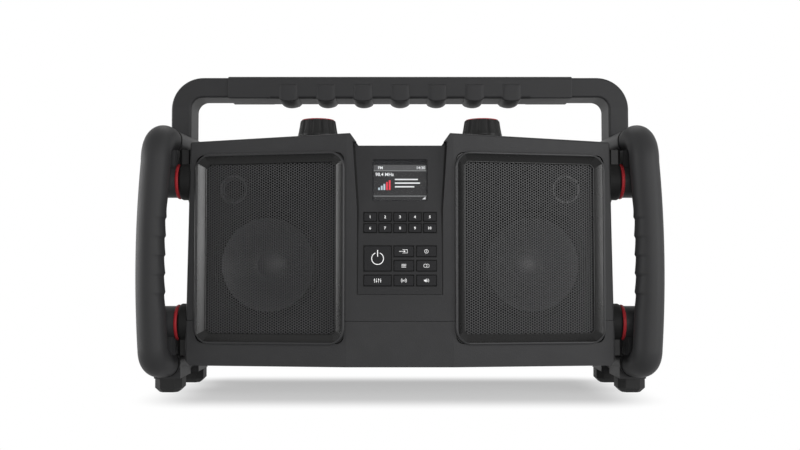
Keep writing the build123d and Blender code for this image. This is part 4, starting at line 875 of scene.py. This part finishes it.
w, h = SCREEN_HALF
figures = [
    screen_text("14:30", SMALL_TEXT, w - 0.0052, h - TOP_BAR / 2),
    screen_text("FM", SMALL_TEXT, 0.0066 - w, h - TOP_BAR / 2),
    screen_text("98.4 MHz", LARGE_TEXT, 0.0108 - w, h - 0.0094),
    screen_plate([(w - 0.0042, 0.0008 - h), (w - 0.0008, 0.0008 - h), (w - 0.0008, 0.0034 - h)], 2),
]
for row, width in enumerate((0.0225, 0.0245, 0.0190)):  # three written lines, as bars
    figures.append(screen_bar(-0.0050 + width / 2, 0.0030 - 0.0036 * row, width, 0.0013, 2))
level = [  # five bars of a level mark, each taller than the last
    screen_bar(-0.0205 + 0.0026 * k, -0.0062 + 0.0009 * k, 0.0017, 0.0024 + 0.0018 * k, 2) for k in range(5)
]
lines = [screen_bar(0, z, 2 * w, THIN_LINE) for z in (h - TOP_BAR - 0.0002, 0.0040 - h)]
LAYERS = [  # piece, its shapes, its ink, and the ink's colour and strength
    ("screen_glow", [screen_bar(0, 0, 2 * w, 2 * h, 0)], "screen_grey", (0.030, 0.030, 0.031), 0.7),
    ("screen_top_bar", [screen_bar(0, h - TOP_BAR / 2, 2 * w, TOP_BAR)], "screen_light_grey",
     (0.075, 0.076, 0.078), 0.8),
    ("screen_lines", lines, "screen_pale", (0.30, 0.31, 0.31), 0.7),
    ("screen_figures", figures, "screen_white", (0.62, 0.63, 0.64), 0.9),
    ("screen_level_low", level[:3], "screen_pale_blue", (0.42, 0.50, 0.55), 0.8),
    ("screen_level_high", level[3:], "screen_red", (0.60, 0.05, 0.07), 0.9),
]
for name, shapes, *ink in LAYERS:
    make_piece(name, *merged(shapes), "display", material=lit_print(*ink), smooth=False)

# Window pane: half width, half height, corner radius and depth of its rings, from the back to the front.
PANE_RINGS = [
    (0.02685, 0.02035, 0.0014, 0.00255), (0.02685, 0.02035, 0.0014, 0.0013),
    (0.02665, 0.02015, 0.0012, 0.0010),
]
PANE_CORNER = 8


def window_pane():
    """Clear pane with rounded corners and a small bevel round its front edge."""
    loops = []
    for half_w, half_h, radius, depth in PANE_RINGS:
        for k, (sx, sz) in enumerate(((1, 1), (-1, 1), (-1, -1), (1, -1))):
            turn = np.linspace(0, pi / 2, PANE_CORNER) + k * pi / 2
            x = sx * (half_w - radius) + radius * np.cos(turn)
            z = sz * (half_h - radius) + radius * np.sin(turn)
            loops.append(panel_point(x, DISPLAY_UP + z, depth))
    return closed_grid(np.concatenate(loops).reshape(len(PANE_RINGS), -1, 3), capped=True)


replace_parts(make_piece("window_pane", *window_pane(), "window", angle=20), "display_window")

# ---- Control panel ---------------------------------------
PRESET_X = [(k - 2) * 0.0145 for k in range(5)]
PRESET_UP = [(z - PANEL_KNEE) / cos(PANEL_LEAN) for z in (0.1754, 0.1645)]
PRESET_OPENING = (0.0125, 0.0089)
LARGE_KEY, LEFT_KEY, RIGHT_KEY = -0.0217, 0.0037, 0.0256
KEY_ROWS = (0.142, 0.128, 0.1137)
KEY_OPENING = (0.0193, 0.0107)
# Each key of the lower panel: its centre, its pictogram and, where it isn't KEY_OPENING, its opening. The
# pictogram is in millimetres from the centre: bars (x, z, width, height), arcs (x, z, both radii, both
# angles) and lists of a convex shape's corners.
KEYS = {
    "power_button": (LARGE_KEY, 0.135, [(0, 0, 5.35, 6.15, 112, 428), (0, 5.0, 0.9, 6.4)], 0.0267, 0.0247),
    "source_button": (LEFT_KEY, KEY_ROWS[0], [
        (1.2, 1.6, 4.8, 0.4), (1.2, -1.6, 4.8, 0.4), (3.4, 0, 0.4, 3.6), (-2.2, 0, 4.6, 0.5),
        [(0.1, -1.1), (1.6, 0), (0.1, 1.1)],
    ]),
    "info_button": (RIGHT_KEY, KEY_ROWS[0], [
        (0, 0, 1.6, 2.0, 0, 360), (0, -0.3, 0.5, 1.4), (0, 0.9, 0.5, 0.5),
    ]),
    "menu_button": (LEFT_KEY, KEY_ROWS[1], [(0, z, 4.6, 0.5) for z in (1.3, 0, -1.3)]),
    "stereo_button": (RIGHT_KEY, KEY_ROWS[1], [
        (-1.1, 0, 1.4, 1.8, 0, 360), (1.1, 0, 1.4, 1.8, -127, 127),
    ]),
    "surround_button": (LEFT_KEY, KEY_ROWS[2], [
        (0, 0, 0, 0.6, 0, 360), (0, 0, 1.3, 1.7, -50, 50), (0, 0, 1.3, 1.7, 130, 230),
        (0, 0, 2.4, 2.8, -50, 50), (0, 0, 2.4, 2.8, 130, 230),
    ]),
    "loudness_button": (RIGHT_KEY, KEY_ROWS[2], [
        (-1.9, 0, 1.0, 1.4), [(-1.3, -0.7), (0.1, -1.8), (0.1, 1.8), (-1.3, 0.7)],
        (0, 0, 1.1, 1.5, -48, 48), (0, 0, 2.1, 2.5, -48, 48),
    ]),
    "equaliser_button": (LARGE_KEY, KEY_ROWS[2], [
        *[(x, 0, 0.4, 4.0) for x in (-3, -1, 1, 3)],
        (-3, 0.6, 1.3, 0.7), (-1, -0.8, 1.3, 0.7), (1, 1.1, 1.3, 0.7), (3, -0.2, 1.3, 0.7),
    ], 0.0267, 0.0107),
}
MOAT = 0.0007
STRIP_RISE, STRIP_SHEET = 0.00003, 0.00005


def mark(x, z, row):
    """A printed bar, arc or convex shape of a key's pictogram, told apart by its row's length and type."""
    sheet = (fascia_point, FACE_DEPTH, FACE_DEPTH + PRINT_SHEET)
    if isinstance(row, list):
        return plate([(x + a * MM, z + b * MM) for a, b in row], *sheet)
    a, b, *sizes = [value * MM for value in row[:4]]
    if len(row) == 4:
        return plate(bar_outline(x + a, z + b, *sizes), *sheet)
    return arc_band(x + a, z + b, *sizes, *row[4:], *sheet)


def strip(corners, place):
    """A thin dark strip that lies on the control panel: painted shade in a gap or beside a step."""
    return plate(corners, place, -STRIP_RISE, STRIP_SHEET - STRIP_RISE)


def moat(x, z, width, height, place):
    """A dark edge round a button's opening, painted shade of its gap: four strips that meet end to end."""
    w, h, m = width / 2, height / 2, MOAT
    bars = [
        (x, z + h + m / 2, width + 2 * m, m), (x, z - h - m / 2, width + 2 * m, m),
        (x - w - m / 2, z, m, height), (x + w + m / 2, z, m, height),
    ]
    return [strip(bar_outline(*bar), place) for bar in bars]


for number in range(1, 11):
    row, column = divmod(number - 1, 5)
    shape = text_shape(str(number), PRESET_TEXT, PRESET_X[column], PRESET_UP[row], panel_point, FACE_DEPTH)
    button = f"preset_button_{number:02d}"
    make_piece(f"preset_number_{number:02d}", *shape, "button", button, PRINT_PAINTED_GLOW, smooth=False)
gap_shades = []
for button, (x, z, rows, *opening) in KEYS.items():
    shapes = [mark(x, z, row) for row in rows]
    make_piece(button.replace("button", "mark"), *merged(shapes), "button", button, PRINT_PAINTED_GLOW, smooth=False)
    gap_shades += moat(x, z, *(opening or KEY_OPENING), fascia_point)
for up in PRESET_UP:
    for x in PRESET_X:
        gap_shades += moat(x, up, *PRESET_OPENING, panel_point)
make_piece("button_moats", *merged(gap_shades), "panel", material=INNER_BLACK_AS_SHADE, smooth=False)

# Dark strips along the seams beside the control panel: painted shadow of the step where the recessed panel
# meets the case
BEND = 0.0414  # x of the outer edge of the seams beside the panel, up to where they flare
flare_up, top_up = [(z - PANEL_KNEE) / cos(PANEL_LEAN) for z in (0.1830, 0.2455)]
SEAMS = [
    ([(0.0398, flare_up), (BEND, flare_up), (0.0459, top_up), (0.0439, top_up)], panel_point),
    ([(0.0403, 0.0), (BEND, 0.0), (BEND, flare_up), (0.0398, flare_up)], panel_point),
    ([(0.0409, 0.1005), (BEND, 0.1005), (BEND, PANEL_KNEE), (0.0403, PANEL_KNEE)], fascia_point),
]
edge_shadows = [
    strip([(side * x, z) for x, z in corners], place) for corners, place in SEAMS for side, _ in SIDES
]
make_piece("panel_edge_shadow", *merged(edge_shadows), "panel", material=INNER_BLACK_AS_SHADE, smooth=False)

# ---- Studio ----------------------------------------------
FOCAL = 42.9
CAMERA_PLACE = (0.0, -1.0215, 0.1299)
CAMERA_TILT = 2.33
FILL_LEVEL = 0.12
WHITE = (1, 1, 1)
FLOOR_GREY = (0.80, 0.80, 0.80)


def build_camera():
    """The camera stands a metre in front, a little below the middle of the case, tilted slightly up."""
    lens = bpy.data.cameras.new("camera")
    lens.lens = FOCAL
    camera = new_object("camera", lens)
    camera.location = CAMERA_PLACE
    camera.rotation_euler = (radians(90 + CAMERA_TILT), 0, 0)
    bpy.context.scene.camera = camera


def white_where_seen(tree, dim, output, share=None):
    """White at strength 1 to camera, glossy and transmission rays, and the dim shader to all others. The
    share, where one is given, says how much of the white is mixed in."""
    kind = "Background" if output.bl_idname.endswith("World") else "Emission"
    white = add_node(tree, kind, {"Color": WHITE, "Strength": 1.0})
    rays = add_node(tree, "LightPath").outputs
    seen = math_node(tree, "MAXIMUM", rays["Is Camera Ray"], rays["Is Glossy Ray"])
    seen = math_node(tree, "MAXIMUM", seen, rays["Is Transmission Ray"])
    if share is not None:
        seen = product(tree, seen, share)
    mix = add_node(tree, "MixShader", {0: seen, 1: dim, 2: white.outputs[0]})
    plug(tree, output.inputs["Surface"], mix.outputs[0])


def build_world():
    """A plain grey fill that looks white where it is seen."""
    world = bpy.data.worlds.new("studio")
    bpy.context.scene.world = world
    world.use_nodes = True
    tree = world.node_tree
    fill = tree.nodes["Background"]
    plug(tree, fill.inputs["Color"], WHITE)
    plug(tree, fill.inputs["Strength"], FILL_LEVEL)
    white_where_seen(tree, fill.outputs[0], tree.nodes["World Output"])


FLOOR_REACH = 6.0
SHADOW_MIDDLE = (0.0, -0.035)
SHADOW_HALF = (0.185, 0.060)  # inside this the floor shows its own shading
SHADOW_FADE = 0.075  # and over this distance it goes over to plain white
SHADOW_SHARE = 0.55


def footprint_distance(tree):
    """Distance on the floor from a rectangle under the radio: the length of what |x| and |y|, each less
    the half size, leave above zero."""
    split = add_node(tree, "SeparateXYZ", {0: object_coordinates(tree)})
    squares = []
    for axis, middle, half in zip("XY", SHADOW_MIDDLE, SHADOW_HALF):
        away = math_node(tree, "ABSOLUTE", math_node(tree, "SUBTRACT", split.outputs[axis], middle))
        beyond = math_node(tree, "MAXIMUM", math_node(tree, "SUBTRACT", away, half), 0.0)
        squares.append(product(tree, beyond, beyond))
    return math_node(tree, "SQRT", math_node(tree, "ADD", *squares))


def build_floor():
    """A wide white floor: plain white where it is seen, but for the radio's soft shadow."""
    mesh = bpy.data.meshes.new("floor")
    r = FLOOR_REACH
    mesh.from_pydata([(-r, -r, 0), (r, -r, 0), (r, r, 0), (-r, r, 0)], [], [(0, 1, 2, 3)])
    new_object("floor", mesh)
    constants = {"Base Color": FLOOR_GREY, "Roughness": 0.6, "Specular IOR Level": 0.0}
    material, tree, shader = new_material("floor_white", constants)
    mesh.materials.append(material)
    bounds = {"From Max": SHADOW_FADE, "To Min": 1.0 - SHADOW_SHARE}
    fade = map_node(tree, footprint_distance(tree), bounds, interpolation_type="SMOOTHSTEP")
    white_where_seen(tree, shader.outputs[0], tree.nodes["Material Output"], fade)


MIDDLE = Vector((0, 0, 0.16))
LAMP_DISTANCE = 2.0
LAMPS = {  # azimuth to the right of the camera and elevation in degrees, width, height, watts
    "rim_left": (-106, 2, 0.6, 0.9, 13.0),
    "side_left": (-75, 2, 0.85, 0.9, 23.0),
    "front": (0, 2, 0.6, 0.9, 5.0),
    "key": (24, 2, 0.6, 0.9, 15.0),
    "side_right": (61, 2, 0.6, 0.9, 23.0),
    "back": (180, 62, 1.2, 0.9, 8.0),
}


def area_lamp(name, azimuth, elevation, width, height, power):
    """A soft rectangular lamp at a direction from the radio's middle, which it looks at."""
    light = bpy.data.lights.new(name, "AREA")
    light.shape = "RECTANGLE"
    light.size, light.size_y = width, height
    light.energy = power
    level = LAMP_DISTANCE * cos(radians(elevation))
    turn = radians(azimuth)
    offset = Vector((level * sin(turn), -level * cos(turn), LAMP_DISTANCE * sin(radians(elevation))))
    lamp = new_object(name, light)
    lamp.location = MIDDLE + offset
    lamp.rotation_euler = (-offset).to_track_quat("-Z", "Y").to_euler()


build_camera()
build_world()
build_floor()
for lamp_name, settings in LAMPS.items():
    area_lamp(lamp_name, *settings)
bpy.context.scene.view_settings.view_transform = "Standard"
